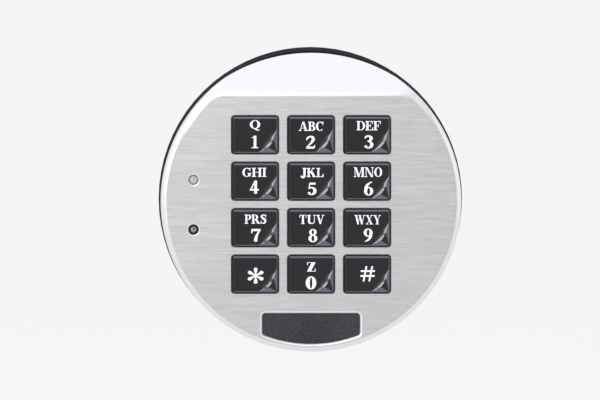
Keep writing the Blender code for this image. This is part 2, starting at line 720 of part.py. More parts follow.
def build_board_parts(bench):
    """The chip, buzzer, capacitor and cable socket, all hung from the back of the board."""
    front = BOARD_BACK - GAP
    lid_size = CHIP_SIZE - 2 * CHIP_CORNER
    lid = rounded_rectangle(lid_size, lid_size, CHIP_CORNER)
    side = rounded_rectangle(CHIP_SIZE, CHIP_SIZE, CHIP_CORNER)
    sections = ((lid, -CHIP_THICKNESS), (side, CHIP_CORNER - CHIP_THICKNESS), (side, 0))
    chip = lofted("controller_chip", sections)
    bench.part("controller_chip", chip, "gloss_black", (*CHIP_PLACE, front))

    sounder = turned(
        "buzzer",
        (
            (0, 0),
            (BUZZER_RADIUS, 0),
            (BUZZER_RADIUS, HEAD_CHAMFER - BUZZER_HEIGHT),
            (BUZZER_RADIUS - HEAD_CHAMFER, -BUZZER_HEIGHT),
            (BUZZER_PORT_RADIUS, -BUZZER_HEIGHT),
            (BUZZER_PORT_RADIUS, -BUZZER_HEIGHT / 2),
            (0, -BUZZER_HEIGHT / 2),
        ),
        2 * SMALL_STEPS,
    )
    bench.part("buzzer", sounder, "gloss_black", (*BUZZER_PLACE, front))

    neck = CAPACITOR_RADIUS - CAPACITOR_GROOVE
    can = turned(
        "capacitor",
        (
            (0, 0),
            (CAPACITOR_RADIUS, 0),
            (CAPACITOR_RADIUS, -CAPACITOR_GROOVE),
            (neck, -2 * CAPACITOR_GROOVE),
            (CAPACITOR_RADIUS, -3 * CAPACITOR_GROOVE),
            (CAPACITOR_RADIUS, CAPACITOR_GROOVE - CAPACITOR_HEIGHT),
            (neck, -CAPACITOR_HEIGHT),
            (0, -CAPACITOR_HEIGHT),
        ),
        SMALL_STEPS,
    )
    bench.part("capacitor", can, "battery_jacket", (*CAPACITOR_PLACE, front))

    half_width, half_length = SOCKET_WIDTH / 2, SOCKET_LENGTH / 2
    shell = block("cable_socket", -half_width, half_width, -half_length, half_length, -SOCKET_HEIGHT, 0)
    place = (0, CABLE_SLOT_RISE, front)
    socket = bench.part("cable_socket", shell, "cream_plastic", place)
    half_width -= SOCKET_WALL
    half_length -= SOCKET_WALL
    mouth = -SOCKET_HEIGHT - OVERRUN
    well = block("socket_well", -half_width, half_width, -half_length, half_length, mouth, -SOCKET_FLOOR)
    boolean(socket, bench.cutter("socket_well", well, place))


def screw_mesh(name, shank_radius, head_radius, head_height, length):
    """A screw that points along Z, with the underside of its head at zero."""
    return turned(
        name,
        (
            (0, length),
            (shank_radius - HEAD_CHAMFER, length),
            (shank_radius, length - HEAD_CHAMFER),
            (shank_radius, 0),
            (head_radius, 0),
            (head_radius, HEAD_CHAMFER - head_height),
            (head_radius - HEAD_CHAMFER, -head_height),
            (0, -head_height),
        ),
        SMALL_STEPS,
    )


def build_screws(bench):
    seat = FLOOR_BACK + GAP + BEZEL_SCREW_HEAD
    length = BOSS_BACK + BEZEL_SCREW_BITE - seat
    head = (BEZEL_SCREW_HEAD_RADIUS, BEZEL_SCREW_HEAD)
    long_screw = screw_mesh("bezel_screw", BEZEL_SCREW_RADIUS, *head, length)
    for number, place in enumerate(pillar_places(), 1):
        bench.part(f"bezel_screw_{number}", long_screw, "steel", (*place, seat))
    seat = BOARD_BACK - GAP
    length = BOARD_FRONT + GAP + BOARD_SCREW_BITE - seat
    head = (BOARD_SCREW_HEAD_RADIUS, BOARD_SCREW_HEAD)
    short_screw = screw_mesh("board_screw", BOARD_SCREW_RADIUS, *head, length)
    for number, place in enumerate(board_boss_places(), 1):
        bench.part(f"board_screw_{number}", short_screw, "steel", (*place, seat))


def build_inner_frame(bench):
    """The plate over the battery bay, with a window above it for the parts on the board."""
    disc = cone("inner_frame", FRAME_RADIUS, FRAME_RADIUS, FRAME_BACK, FRAME_FRONT, TURN_STEPS)
    frame = bench.part("inner_frame", disc, "black_plastic")
    half = FRAME_WINDOW_WIDTH / 2
    window = block("frame_window", -half, half, TERMINAL_END, FRAME_WINDOW_TOP, 0, FACE)
    hole = cone("frame_hole", BEZEL_SCREW_RADIUS + GAP, BEZEL_SCREW_RADIUS + GAP, 0, FACE)
    cuts = [
        bench.cutter(f"frame_hole_{number}", hole, (*place, 0))
        for number, place in enumerate(pillar_places(), 1)
    ]
    cuts.append(bench.cutter("frame_window", window))
    boolean(frame, bench.group("frame_cuts", cuts))


def housing_envelope(name, inset=0):
    """The drafted outside of the housing as a solid, less an inset."""
    back, front = HOUSING_BACK_RADIUS - inset, HOUSING_RADIUS - inset
    return cone(name, back, front, FLOOR_BACK, HOUSING_FRONT, TURN_STEPS)


def housing_cup():
    """The housing's wall and floor, turned as one open cup."""
    return turned(
        "rear_housing",
        (
            (HOUSING_BORE, HOUSING_FRONT),
            (HOUSING_RADIUS - HOUSING_CHAMFER, HOUSING_FRONT),
            (HOUSING_RADIUS, HOUSING_FRONT - HOUSING_CHAMFER),
            (HOUSING_BACK_RADIUS, FLOOR_BACK + HOUSING_CHAMFER),
            (HOUSING_BACK_RADIUS - HOUSING_CHAMFER, FLOOR_BACK),
            (0, FLOOR_BACK),
            (0, FLOOR_FRONT),
            (HOUSING_BORE, FLOOR_FRONT),
        ),
        closed=True,
    )


def bay_walls(bench):
    """The two side walls and the end wall that guide the drawer, cut off inside the housing's wall."""
    back, front = FLOOR_FRONT - FLOOR_THICKNESS / 2, PILLAR_FRONT
    inner, outer = BAY_HALF_WIDTH, BAY_OUTER
    walls = [
        block("bay_wall_left", -outer, -inner, -HOUSING_BORE, END_WALL_END, back, front),
        block("bay_wall_right", inner, outer, -HOUSING_BORE, END_WALL_END, back, front),
        block("bay_end_wall", -outer, outer, END_WALL_START, END_WALL_END, back, front),
    ]
    return [bench.cutter(mesh.name, mesh) for mesh in walls]


def drawer_outline(margin=0):
    """The outline of the drawer's front and of its opening, as seen from below the lock."""
    width = 2 * (TRAY_HALF_WIDTH + margin)
    height = BATTERY_FRONT - TRAY_BACK + 2 * margin
    middle = (BATTERY_FRONT + TRAY_BACK) / 2
    return [(x, y + middle) for x, y in rounded_rectangle(width, height, DRAWER_CORNER + margin)]


def across(bench, name, outline, low, high):
    """A prism whose outline is in X and Z, and which runs up the face from low to high."""
    mesh = prism(name, [(x, -z) for x, z in outline], low, high)
    return bench.cutter(name, mesh, turn=(-math.pi / 2, 0, 0))


def lug_slots(bench):
    """Slots in the housing's floor for the base plate's hook and lugs, long enough to slide it on."""
    back, front = FLOOR_BACK - OVERRUN, FLOOR_FRONT + OVERRUN
    half_hook = HOOK_WIDTH / 2 + GAP
    hook_slot = block(
        "hook_slot",
        -half_hook,
        half_hook,
        HOOK_TOP - HOOK_THICKNESS - GAP - SLIDE_ON_TRAVEL,
        HOOK_TOP + GAP,
        back,
        front,
    )
    slots = [bench.cutter("hook_slot", hook_slot)]
    for side, name in ((-1, "left"), (1, "right")):
        left = side * LUG_SPREAD - LUG_WIDTH / 2 - GAP
        right = side * LUG_SPREAD + LUG_WIDTH / 2 + GAP
        slot = block(
            f"lug_slot_{name}",
            left,
            right,
            LUG_TOP - GAP,
            LUG_TOP + LUG_THICKNESS + GAP,
            back,
            front,
        )
        slots.append(bench.cutter(f"lug_slot_{name}", slot))
    return slots


def set_screw_start():
    """Where a set screw starts, just inside the housing's drafted skin."""
    rise_share = (SET_SCREW_AXIS - FLOOR_BACK) / (HOUSING_FRONT - FLOOR_BACK)
    radius = HOUSING_BACK_RADIUS - DRAFT_FLARE * rise_share
    edge = LUG_SPREAD + SET_SCREW_RADIUS
    return SET_SCREW_SUNK - math.sqrt(radius**2 - edge**2)


def lying_rod(bench, name, radius, low, high, place, steps=SMALL_STEPS):
    """A rod that runs up the face from low to high, at this X and Z."""
    x, z = place
    return bench.cutter(name, cone(name, radius, radius, low, high, steps), (x, 0, z), (-math.pi / 2, 0, 0))


def build_housing(bench):
    housing = bench.part("rear_housing", housing_cup(), "black_plastic")
    joins = bay_walls(bench)
    pillar = cone("pillar", PILLAR_RADIUS, PILLAR_RADIUS, FLOOR_FRONT - FLOOR_THICKNESS / 2, PILLAR_FRONT)
    for number, place in enumerate(pillar_places(), 1):
        joins.append(bench.cutter(f"pillar_{number}", pillar, (*place, 0)))
    boolean(housing, bench.group("housing_joins", joins), "UNION")

    cuts = lug_slots(bench)
    bore = cone("pillar_bore", BEZEL_SCREW_RADIUS + GAP, BEZEL_SCREW_RADIUS + GAP, 0, FACE)
    head_room = BEZEL_SCREW_HEAD_RADIUS + GAP
    sink = cone("pillar_sink", head_room, head_room, 0, FLOOR_BACK + BEZEL_SCREW_HEAD + 2 * GAP)
    for number, place in enumerate(pillar_places(), 1):
        cuts.append(bench.cutter(f"pillar_bore_{number}", bore, (*place, 0)))
        cuts.append(bench.cutter(f"pillar_sink_{number}", sink, (*place, 0)))
    opening = drawer_outline(GAP)
    cuts.append(across(bench, "drawer_opening", opening, -HOUSING_BACK_RADIUS - OVERRUN, -HOUSING_BORE / 2))
    cuts.append(cable_slot(bench, "housing_cable_slot", FLOOR_BACK, FLOOR_FRONT))
    for side, name in ((-1, "left"), (1, "right")):
        place = (side * LUG_SPREAD, SET_SCREW_AXIS)
        radius = SET_SCREW_RADIUS + GAP
        hole = lying_rod(bench, f"set_screw_hole_{name}", radius, -HOUSING_BACK_RADIUS, LUG_TOP, place)
        cuts.append(hole)
    boolean(housing, bench.group("housing_cuts", cuts))


def cable_slot(bench, name, back, front):
    """The obround slot for the cable into the door."""
    outline = rounded_rectangle(CABLE_SLOT_WIDTH, CABLE_SLOT_LENGTH, CABLE_SLOT_WIDTH / 2, 2 * CORNER_STEPS)
    mesh = prism(name, shifted(outline, 0, CABLE_SLOT_RISE), back - OVERRUN, front + OVERRUN)
    return bench.cutter(name, mesh)


def hook_outline():
    """Side view of the hook in Y and Z: a post from inside the plate with a lip towards the rim."""
    lip_back = FLOOR_FRONT + GAP
    lip_front = lip_back + HOOK_LIP_THICKNESS
    root = BASE_THICKNESS / 2
    return (
        (HOOK_TOP - HOOK_THICKNESS, root),
        (HOOK_TOP, root),
        (HOOK_TOP, lip_back),
        (HOOK_TOP + HOOK_LIP, lip_back),
        (HOOK_TOP + HOOK_LIP, lip_front),
        (HOOK_TOP - HOOK_THICKNESS, lip_front),
    )


def build_base_plate(bench):
    disc = turned(
        "base_plate",
        (
            (0, BASE_FRONT),
            (BASE_RADIUS - HOUSING_CHAMFER, BASE_FRONT),
            (BASE_RADIUS, BASE_FRONT - HOUSING_CHAMFER),
            (BASE_RADIUS, 0),
            (0, 0),
        ),
    )
    base = bench.part("base_plate", disc, "black_plastic")
    hook = prism("hook", hook_outline(), -HOOK_WIDTH / 2, HOOK_WIDTH / 2)
    joins = [bench.cutter("hook", hook, turn=(math.pi / 2, 0, math.pi / 2))]
    root = BASE_THICKNESS / 2
    for side, name in ((-1, "left"), (1, "right")):
        middle = side * LUG_SPREAD
        lug = block(
            f"lug_{name}",
            middle - LUG_WIDTH / 2,
            middle + LUG_WIDTH / 2,
            LUG_TOP,
            LUG_TOP + LUG_THICKNESS,
            root,
            BASE_FRONT + LUG_HEIGHT,
        )
        joins.append(bench.cutter(f"lug_{name}", lug))
    boolean(base, bench.group("base_joins", joins), "UNION")

    cuts = [cable_slot(bench, "base_cable_slot", 0, BASE_FRONT)]
    for side, name in ((-1, "left"), (1, "right")):
        place = (side * DOOR_SCREW_SPACING / 2, 0, 0)
        hole = cone(f"door_hole_{name}", DOOR_HOLE_RADIUS, DOOR_HOLE_RADIUS, -OVERRUN, BASE_FRONT + OVERRUN)
        cuts.append(bench.cutter(f"door_hole_{name}", hole, place))
        sink_back, sink_front = BASE_FRONT - DOOR_SINK_DEPTH, BASE_FRONT + GAP
        sink = cone(f"door_sink_{name}", DOOR_HOLE_RADIUS, DOOR_SINK_RADIUS, sink_back, sink_front)
        cuts.append(bench.cutter(f"door_sink_{name}", sink, place))
    end = LUG_TOP + LUG_THICKNESS
    for side, name in ((-1, "left"), (1, "right")):
        place = (side * LUG_SPREAD, SET_SCREW_AXIS)
        radius = SET_SCREW_RADIUS + GAP
        hole = lying_rod(bench, f"lug_hole_{name}", radius, LUG_TOP - OVERRUN, end + OVERRUN, place)
        cuts.append(hole)
    boolean(base, bench.group("base_cuts", cuts))


def build_set_screws(bench):
    start, end = set_screw_start(), LUG_TOP + LUG_THICKNESS
    for side, name in ((-1, "left"), (1, "right")):
        body = cone(f"set_screw_{name}", SET_SCREW_RADIUS, SET_SCREW_RADIUS, start, end)
        place = (side * LUG_SPREAD, 0, SET_SCREW_AXIS)
        screw = bench.part(f"set_screw_{name}", body, "steel", place)
        screw.rotation_euler = (-math.pi / 2, 0, 0)
        socket = lying_rod(
            bench,
            f"hex_socket_{name}",
            HEX_SOCKET_RADIUS,
            start - OVERRUN,
            start + HEX_SOCKET_DEPTH,
            (side * LUG_SPREAD, SET_SCREW_AXIS),
            HEX_SIDES,
        )
        boolean(screw, socket)


def build_drawer(bench):
    """A U-shaped tray on a front panel that carries on the housing's round wall."""
    reach = HOUSING_BACK_RADIUS + OVERRUN
    outline = drawer_outline()
    blank = prism("battery_drawer", [(x, -z) for x, z in outline], -reach, BATTERY_SHOULDER)
    drawer = bench.part("battery_drawer", blank, "black_plastic")
    drawer.rotation_euler = (-math.pi / 2, 0, 0)
    boolean(drawer, bench.cutter("drawer_skin", housing_envelope("drawer_skin")), "INTERSECT")

    half = TRAY_HALF_WIDTH - TRAY_WALL
    side_front = TRAY_BACK + TRAY_WALL + BATTERY_DEPTH * TRAY_SIDE_SHARE
    well = block(
        "tray_well", -half, half, BATTERY_START - GAP, BATTERY_SHOULDER + OVERRUN, TRAY_BACK + TRAY_WALL, FACE
    )
    trim = block(
        "tray_trim", -reach, reach, BATTERY_START - GAP, BATTERY_SHOULDER + OVERRUN, side_front, FACE
    )
    groove_middle = (TRAY_BACK + BATTERY_FRONT) / 2
    groove_outline = shifted(
        rounded_rectangle(PULL_GROOVE_WIDTH, PULL_GROOVE_HEIGHT, PULL_GROOVE_HEIGHT / 2), 0, groove_middle
    )
    panel_edge = math.sqrt(HOUSING_RADIUS**2 - (PULL_GROOVE_WIDTH / 2) ** 2)
    cuts = [
        bench.cutter("tray_well", well),
        bench.cutter("tray_trim", trim),
        across(bench, "pull_groove", groove_outline, -reach, PULL_GROOVE_DEPTH / 2 - panel_edge),
    ]
    boolean(drawer, bench.group("drawer_cuts", cuts))


def build_battery(bench):
    middle = (BATTERY_BACK + BATTERY_FRONT) / 2
    outline = rounded_rectangle(BATTERY_WIDTH, BATTERY_DEPTH, BATTERY_CORNER)
    body = prism("battery", outline, BATTERY_START, BATTERY_SHOULDER)
    battery = bench.part("battery", body, "battery_jacket", (0, 0, middle))
    battery.rotation_euler = (-math.pi / 2, 0, 0)
    root = BATTERY_SHOULDER - OVERRUN
    stud = (TERMINAL_PITCH / 2, middle)
    clip = (-TERMINAL_PITCH / 2, middle)
    terminals = [
        lying_rod(bench, "stud_terminal", STUD_RADIUS, root, TERMINAL_END, stud),
        lying_rod(bench, "clip_terminal", CLIP_RADIUS, root, TERMINAL_END, clip, HEX_SIDES),
    ]
    boolean(battery, bench.group("terminals", terminals), "UNION")


def leaf_outline():
    """Side view of a leaf spring in Y and Z: a bow that bears on the terminal, and a tail up to the board."""
    middle = (BATTERY_BACK + BATTERY_FRONT) / 2
    low, high = middle - LEAF_SPAN / 2, middle + LEAF_SPAN / 2
    front = TERMINAL_END + GAP
    back = CONTACT_START + GAP
    tail = BOARD_BACK - GAP
    inner = (
        (back + LEAF_FOOT, low),
        (back, low),
        (front, middle),
        (back, high),
        (back, tail),
    )
    outer = [(y + LEAF_THICKNESS, z) for y, z in reversed(inner[1:])]
    return [*inner, *outer, (back + LEAF_FOOT, low + LEAF_THICKNESS)]


def build_contacts(bench):
    """The block at the inner end of the bay and the two leaf springs that it holds in its slots."""
    half = BAY_HALF_WIDTH - GAP
    body = block(
        "contact_block",
        -half,
        half,
        CONTACT_START,
        CONTACT_START + CONTACT_BLOCK_DEPTH,
        FLOOR_FRONT + GAP,
        PILLAR_FRONT,
    )
    holder = bench.part("contact_block", body, "cream_plastic")
    slots = []
    for side, name in ((1, "positive"), (-1, "negative")):
        middle = side * TERMINAL_PITCH / 2
        leaf = prism(f"contact_{name}", leaf_outline(), middle - LEAF_WIDTH / 2, middle + LEAF_WIDTH / 2)
        strip = bench.part(f"contact_{name}", leaf, "spring_brass")
        strip.rotation_euler = (math.pi / 2, 0, math.pi / 2)
        low = (BATTERY_BACK + BATTERY_FRONT - LEAF_SPAN) / 2
        slot = block(
            f"leaf_slot_{name}",
            middle - LEAF_WIDTH / 2 - GAP,
            middle + LEAF_WIDTH / 2 + GAP,
            CONTACT_START - OVERRUN,
            CONTACT_START + 2 * GAP + LEAF_FOOT,
            low - GAP,
            PILLAR_FRONT + OVERRUN,
        )
        slots.append(bench.cutter(f"leaf_slot_{name}", slot))
    boolean(holder, bench.group("leaf_slots", slots))


def main():
    clear_scene()
    bench = Bench()
    build_base_plate(bench)
    build_housing(bench)
    build_set_screws(bench)
    build_drawer(bench)
    build_battery(bench)
    build_contacts(bench)
    build_inner_frame(bench)
    build_board(bench)
    build_board_parts(bench)
    build_key_mat(bench)
    build_leds(bench)
    build_bezel(bench)
    build_nameplate(bench)
    build_keys(bench)
    build_screws(bench)


main()
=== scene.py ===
"""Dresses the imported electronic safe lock: brushed bezel, dished keys, printed legends and the parts inside.

The pieces are drawn in a face frame, where X is to the right, Y is up the safe door and Z comes out of the
door towards the user, and are stood upright when they are finished. All sizes are in metres.
"""

import logging
import math
from dataclasses import dataclass, field
from enum import Enum
from typing import Callable, Dict, Iterable, Iterator, List, Optional, Sequence, Tuple

import bmesh
import bpy
from bmesh.types import BMesh, BMVert
from bpy.types import Material, Mesh, Node, NodeSocket, NodeTree, Object
from mathutils import Matrix, Quaternion, Vector
from mathutils.geometry import delaunay_2d_cdt


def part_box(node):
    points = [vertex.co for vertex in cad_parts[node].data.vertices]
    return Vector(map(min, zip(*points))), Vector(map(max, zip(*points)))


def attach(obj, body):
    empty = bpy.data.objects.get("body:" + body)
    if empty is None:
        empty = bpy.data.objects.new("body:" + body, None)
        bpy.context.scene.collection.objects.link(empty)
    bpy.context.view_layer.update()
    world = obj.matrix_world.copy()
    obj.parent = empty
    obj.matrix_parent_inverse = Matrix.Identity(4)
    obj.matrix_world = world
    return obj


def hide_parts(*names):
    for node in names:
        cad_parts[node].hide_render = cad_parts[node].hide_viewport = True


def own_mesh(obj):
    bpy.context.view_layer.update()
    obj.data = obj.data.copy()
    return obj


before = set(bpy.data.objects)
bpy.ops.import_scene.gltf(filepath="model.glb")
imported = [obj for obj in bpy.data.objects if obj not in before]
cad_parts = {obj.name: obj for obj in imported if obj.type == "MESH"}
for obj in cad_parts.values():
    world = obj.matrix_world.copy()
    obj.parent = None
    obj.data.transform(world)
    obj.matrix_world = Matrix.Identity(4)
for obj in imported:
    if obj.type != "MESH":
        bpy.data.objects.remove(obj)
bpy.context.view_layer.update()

LOG = logging.getLogger("safe_lock")

Point = Tuple[float, float]
Place = Tuple[float, float, float]
Outline = List[Point]
Colour = Tuple[float, float, float]
Rings = List[List[BMVert]]

GAP = 0.0003  # play round a key, the badge and the bezel
OVERRUN = 0.002  # how far a cutter reaches past what it cuts
HAIR = 0.00001  # keeps two faces from lying in one plane
UPRIGHT = Matrix.Rotation(math.pi / 2, 4, "X")
SHARP_ANGLE = math.radians(19)
FACE = 0.0385  # height of the face above the door
FACE_BACK = 0.0360
FACE_RADIUS = 0.051198
CHAMFER_SLOPE = 0.45  # depth of an opening's chamfer for its width
LOCK_BODY = "lock_body"
DRAWER_BODY = "drawer_body"


class Slot(Enum):
    """The record's material slots."""

    BRUSHED_METAL = "brushed_metal"
    BLACK_PLASTIC = "black_plastic"
    GLOSS_BLACK = "gloss_black"
    MATTE_BLACK = "matte_black"
    STEEL = "steel"
    SPRING_BRASS = "spring_brass"
    SILICONE = "silicone"
    BOARD_GREEN = "board_green"
    BATTERY_JACKET = "battery_jacket"
    CLEAR_LENS = "clear_lens"
    DARK_LENS = "dark_lens"
    CREAM_PLASTIC = "cream_plastic"


class Cut(Enum):
    """What a Boolean does with its second body."""

    AWAY = "DIFFERENCE"
    ON = "UNION"
    WITHIN = "INTERSECT"


def arc(centre: Point, radius: float, start: float, end: float, steps: int) -> Outline:
    """Points of an arc about a centre, from one angle to another.

    Args:
        centre: middle of the arc.
        radius: its radius.
        start: first angle in radians.
        end: last angle in radians.
        steps: number of straight pieces.

    Returns:
        The steps + 1 points.
    """
    turn = (end - start) / steps
    return [
        (centre[0] + radius * math.cos(start + turn * n), centre[1] + radius * math.sin(start + turn * n))
        for n in range(steps + 1)
    ]


def rounded_rectangle(width: float, height: float, corner: float, steps: int = 6) -> Outline:
    """The outline of a rectangle with round corners, anticlockwise from its right side.

    Args:
        width: size along the first axis.
        height: size along the second axis.
        corner: corner radius.
        steps: straight pieces in each corner.

    Returns:
        The closed outline's points.
    """
    outline: Outline = []
    for quarter, (side, top) in enumerate(((1, 1), (-1, 1), (-1, -1), (1, -1))):
        centre = (side * (width / 2 - corner), top * (height / 2 - corner))
        start = math.pi / 2 * quarter
        outline += arc(centre, corner, start, start + math.pi / 2, steps)
    return outline


def mesh_from(bm: BMesh) -> Mesh:
    """Closes the edit: outward normals, a working mesh, smooth shading between sharp edges.

    Args:
        bm: the edit, which is freed.

    Returns:
        The new mesh.
    """
    bmesh.ops.recalc_face_normals(bm, faces=bm.faces[:])
    mesh = bpy.data.meshes.new("working")
    bm.to_mesh(mesh)
    bm.free()
    mesh.shade_smooth()
    mesh.set_sharp_from_angle(angle=SHARP_ANGLE)
    return mesh


def skin(bm: BMesh, rings: Rings) -> None:
    """Joins each closed ring of points to the next with four-sided faces."""
    for first, second in zip(rings, rings[1:]):
        for n in range(len(first)):
            after = (n + 1) % len(first)
            bm.faces.new((first[n], first[after], second[after], second[n]))


def lofted(sections: Sequence[Tuple[Outline, float]]) -> Mesh:
    """A closed solid through stacked outlines of equal counts.

    Args:
        sections: each outline with its height.

    Returns:
        The new mesh.
    """
    bm = bmesh.new()
    rings = [[bm.verts.new((x, y, height)) for x, y in outline] for outline, height in sections]
    skin(bm, rings)
    bm.faces.new(reversed(rings[0]))
    bm.faces.new(rings[-1])
    return mesh_from(bm)


def sculpted(bm: BMesh, rings: Rings) -> Mesh:
    """A closed cutter through rings of points that bend, made of triangles.

    Args:
        bm: the edit that holds the points.
        rings: the closed rings in order.

    Returns:
        The new mesh.
    """
    skin(bm, rings)
    bm.faces.new(rings[0])
    bm.faces.new(rings[-1])
    bmesh.ops.triangulate(bm, faces=bm.faces[:])
    return mesh_from(bm)


def opening(outline: Callable[[float], Outline], back: float, chamfer: float) -> Mesh:
    """The cutter of an opening in the face, with play round its piece and a small chamfer.

    Args:
        outline: the piece's outline, made larger by a margin.
        back: how far back the opening reaches.
        chamfer: the chamfer's width.

    Returns:
        The new mesh.
    """
    close, wide = outline(GAP), outline(GAP + chamfer)
    chamfered = FACE - CHAMFER_SLOPE * chamfer
    return lofted(((close, back), (close, chamfered), (wide, FACE), (wide, FACE + OVERRUN)))


def prism(outline: Outline, back: float, front: float) -> Mesh:
    """A straight prism between two heights."""
    return lofted(((outline, back), (outline, front)))


def block(left: float, right: float, low: float, high: float, back: float, front: float) -> Mesh:
    """A box between these sides."""
    return prism([(left, low), (right, low), (right, high), (left, high)], back, front)


def turned(profile: Sequence[Point], steps: int = 96, closed: bool = False) -> Mesh:
    """A shape turned about Z from a profile of (radius, height), with closed poles.

    Args:
        profile: the points in order; a radius of zero is a pole.
        steps: faces round the axis.
        closed: whether the last point joins the first, for a ring.

    Returns:
        The new mesh.
    """
    bm = bmesh.new()
    rings: Rings = []
    for radius, height in profile:
        if radius < 1e-9:
            rings.append([bm.verts.new((0, 0, height))] * steps)
            continue
        circle = arc((0, 0), radius, 0, math.tau, steps)[:-1]
        rings.append([bm.verts.new((*point, height)) for point in circle])
    pairs = list(zip(rings, rings[1:]))
    if closed:
        pairs.append((rings[-1], rings[0]))
    for first, second in pairs:
        for n in range(steps):
            after = (n + 1) % steps
            corners = dict.fromkeys((first[n], first[after], second[after], second[n]))
            if len(corners) > 2:
                bm.faces.new(tuple(corners))
    return mesh_from(bm)


def rod(radius: float, back: float, front: float, steps: int = 32) -> Mesh:
    """A plain cylinder about Z between two heights."""
    return prism(arc((0, 0), radius, 0, math.tau, steps)[:-1], back, front)


def span(values: Iterable[float]) -> float:
    """How far values lie apart."""
    ordered = sorted(values)
    return ordered[-1] - ordered[0]


def direction(turn: float, rise: float) -> Vector:
    """The way from the lock to what stands this far to the right of straight ahead and above level."""
    return Vector((math.sin(turn) * math.cos(rise), -math.cos(turn) * math.cos(rise), math.sin(rise)))


class Bench:
    """Where pieces are laid out in the face frame, cut, finished and handed to the lock's bodies."""

    def __init__(self) -> None:
        """Opens a collection for the work."""
        self.collection = bpy.data.collections.new("dressed_lock")
        bpy.context.scene.collection.children.link(self.collection)

    def lay(self, name: str, mesh: Mesh, place: Place = (0, 0, 0), turn: Place = (0, 0, 0)) -> Object:
        """Puts a working copy of a mesh on the bench.

        Args:
            name: the object's name.
            mesh: its mesh.
            place: where it stands in the face frame.
            turn: its Euler angles.

        Returns:
            The object.
        """
        obj = bpy.data.objects.new(name, mesh)
        obj.location = place
        obj.rotation_euler = turn
        self.collection.objects.link(obj)
        return obj

    def bake(self, obj: Object) -> Object:
        """Turns what the object's modifiers make into its plain mesh.

        Args:
            obj: the object.

        Returns:
            The same object.
        """
        bpy.context.view_layer.update()
        evaluated = obj.evaluated_get(bpy.context.evaluated_depsgraph_get())
        mesh = bpy.data.meshes.new_from_object(evaluated)
        mesh.name = obj.name
        obj.modifiers.clear()
        obj.data = mesh
        return obj

    def cut(self, target: Object, others: Sequence[Object], way: Cut = Cut.AWAY) -> None:
        """Cuts, joins or intersects the target with other bodies, which are used up.

        Args:
            target: the body that stays.
            others: the bodies that are used up.
            way: what is done with them.
        """
        group = bpy.data.collections.new("cutters")
        bpy.context.scene.collection.children.link(group)
        for other in others:
            group.objects.link(other)
        modifier = target.modifiers.new("cut", "BOOLEAN")
        modifier.operation = way.value
        modifier.solver = "MANIFOLD"
        modifier.operand_type = "COLLECTION"
        modifier.collection = group
        self.bake(target)
        for other in others:
            bpy.data.objects.remove(other, do_unlink=True)
        bpy.data.collections.remove(group)

    def soften(self, obj: Object, width: float, segments: int = 2, angle: float = 30) -> None:
        """Rounds sharp edges.

        Args:
            obj: the object.
            width: how far the rounding reaches from the edge.
            segments: its straight pieces.
            angle: edges sharper than this angle in degrees are rounded.
        """
        modifier = obj.modifiers.new("rounding", "BEVEL")
        modifier.width = width
        modifier.segments = segments
        modifier.limit_method = "ANGLE"
        modifier.angle_limit = math.radians(angle)
        modifier.use_clamp_overlap = True
        modifier.harden_normals = False
        self.bake(obj)

    def hand_over(
        self,
        obj: Object,
        body: str,
        material: Material,
        slot: Slot,
        replaces: Sequence[str] = (),
    ) -> None:
        """Stands a finished piece upright at the origin and lets it ride on its body.

        Args:
            obj: the finished piece, in the face frame.
            body: the body that it moves with.
            material: its finish.
            slot: the record's slot for that finish.
            replaces: the CAD nodes that it stands for.
        """
        obj.data.shade_smooth()
        obj.data.set_sharp_from_angle(angle=SHARP_ANGLE)
        weighted = obj.modifiers.new("weighted", "WEIGHTED_NORMAL")
        weighted.keep_sharp = True
        weighted.weight = 80
        self.bake(obj)
        bpy.context.view_layer.update()
        obj.data.transform(UPRIGHT @ obj.matrix_world)
        obj.location = (0, 0, 0)
        obj.rotation_euler = (0, 0, 0)
        obj.data.materials.clear()
        obj.data.materials.append(material)
        for polygon in obj.data.polygons:
            polygon.material_index = 0
        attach(obj, body)
        if replaces:
            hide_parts(*replaces)
        LOG.info("%s: %d faces on %s, in %s", obj.name, len(obj.data.polygons), body, slot.value)

    def copy_of(self, node: str, name: str, rounding: float = 0.0) -> Object:
        """A merged working copy of a CAD node, laid in the face frame.

        Args:
            node: the CAD node's name.
            name: the copy's name.
            rounding: width by which its sharp edges are rounded.

        Returns:
            The copy.
        """
        bm = bmesh.new()
        bm.from_mesh(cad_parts[node].data)
        bmesh.ops.transform(bm, matrix=UPRIGHT.inverted(), verts=bm.verts[:])
        bmesh.ops.remove_doubles(bm, verts=bm.verts[:], dist=1e-6)
        bmesh.ops.dissolve_limit(bm, angle_limit=math.radians(0.8), verts=bm.verts[:], edges=bm.edges[:])
        obj = self.lay(name, mesh_from(bm))
        if rounding:
            self.soften(obj, rounding)
        return obj


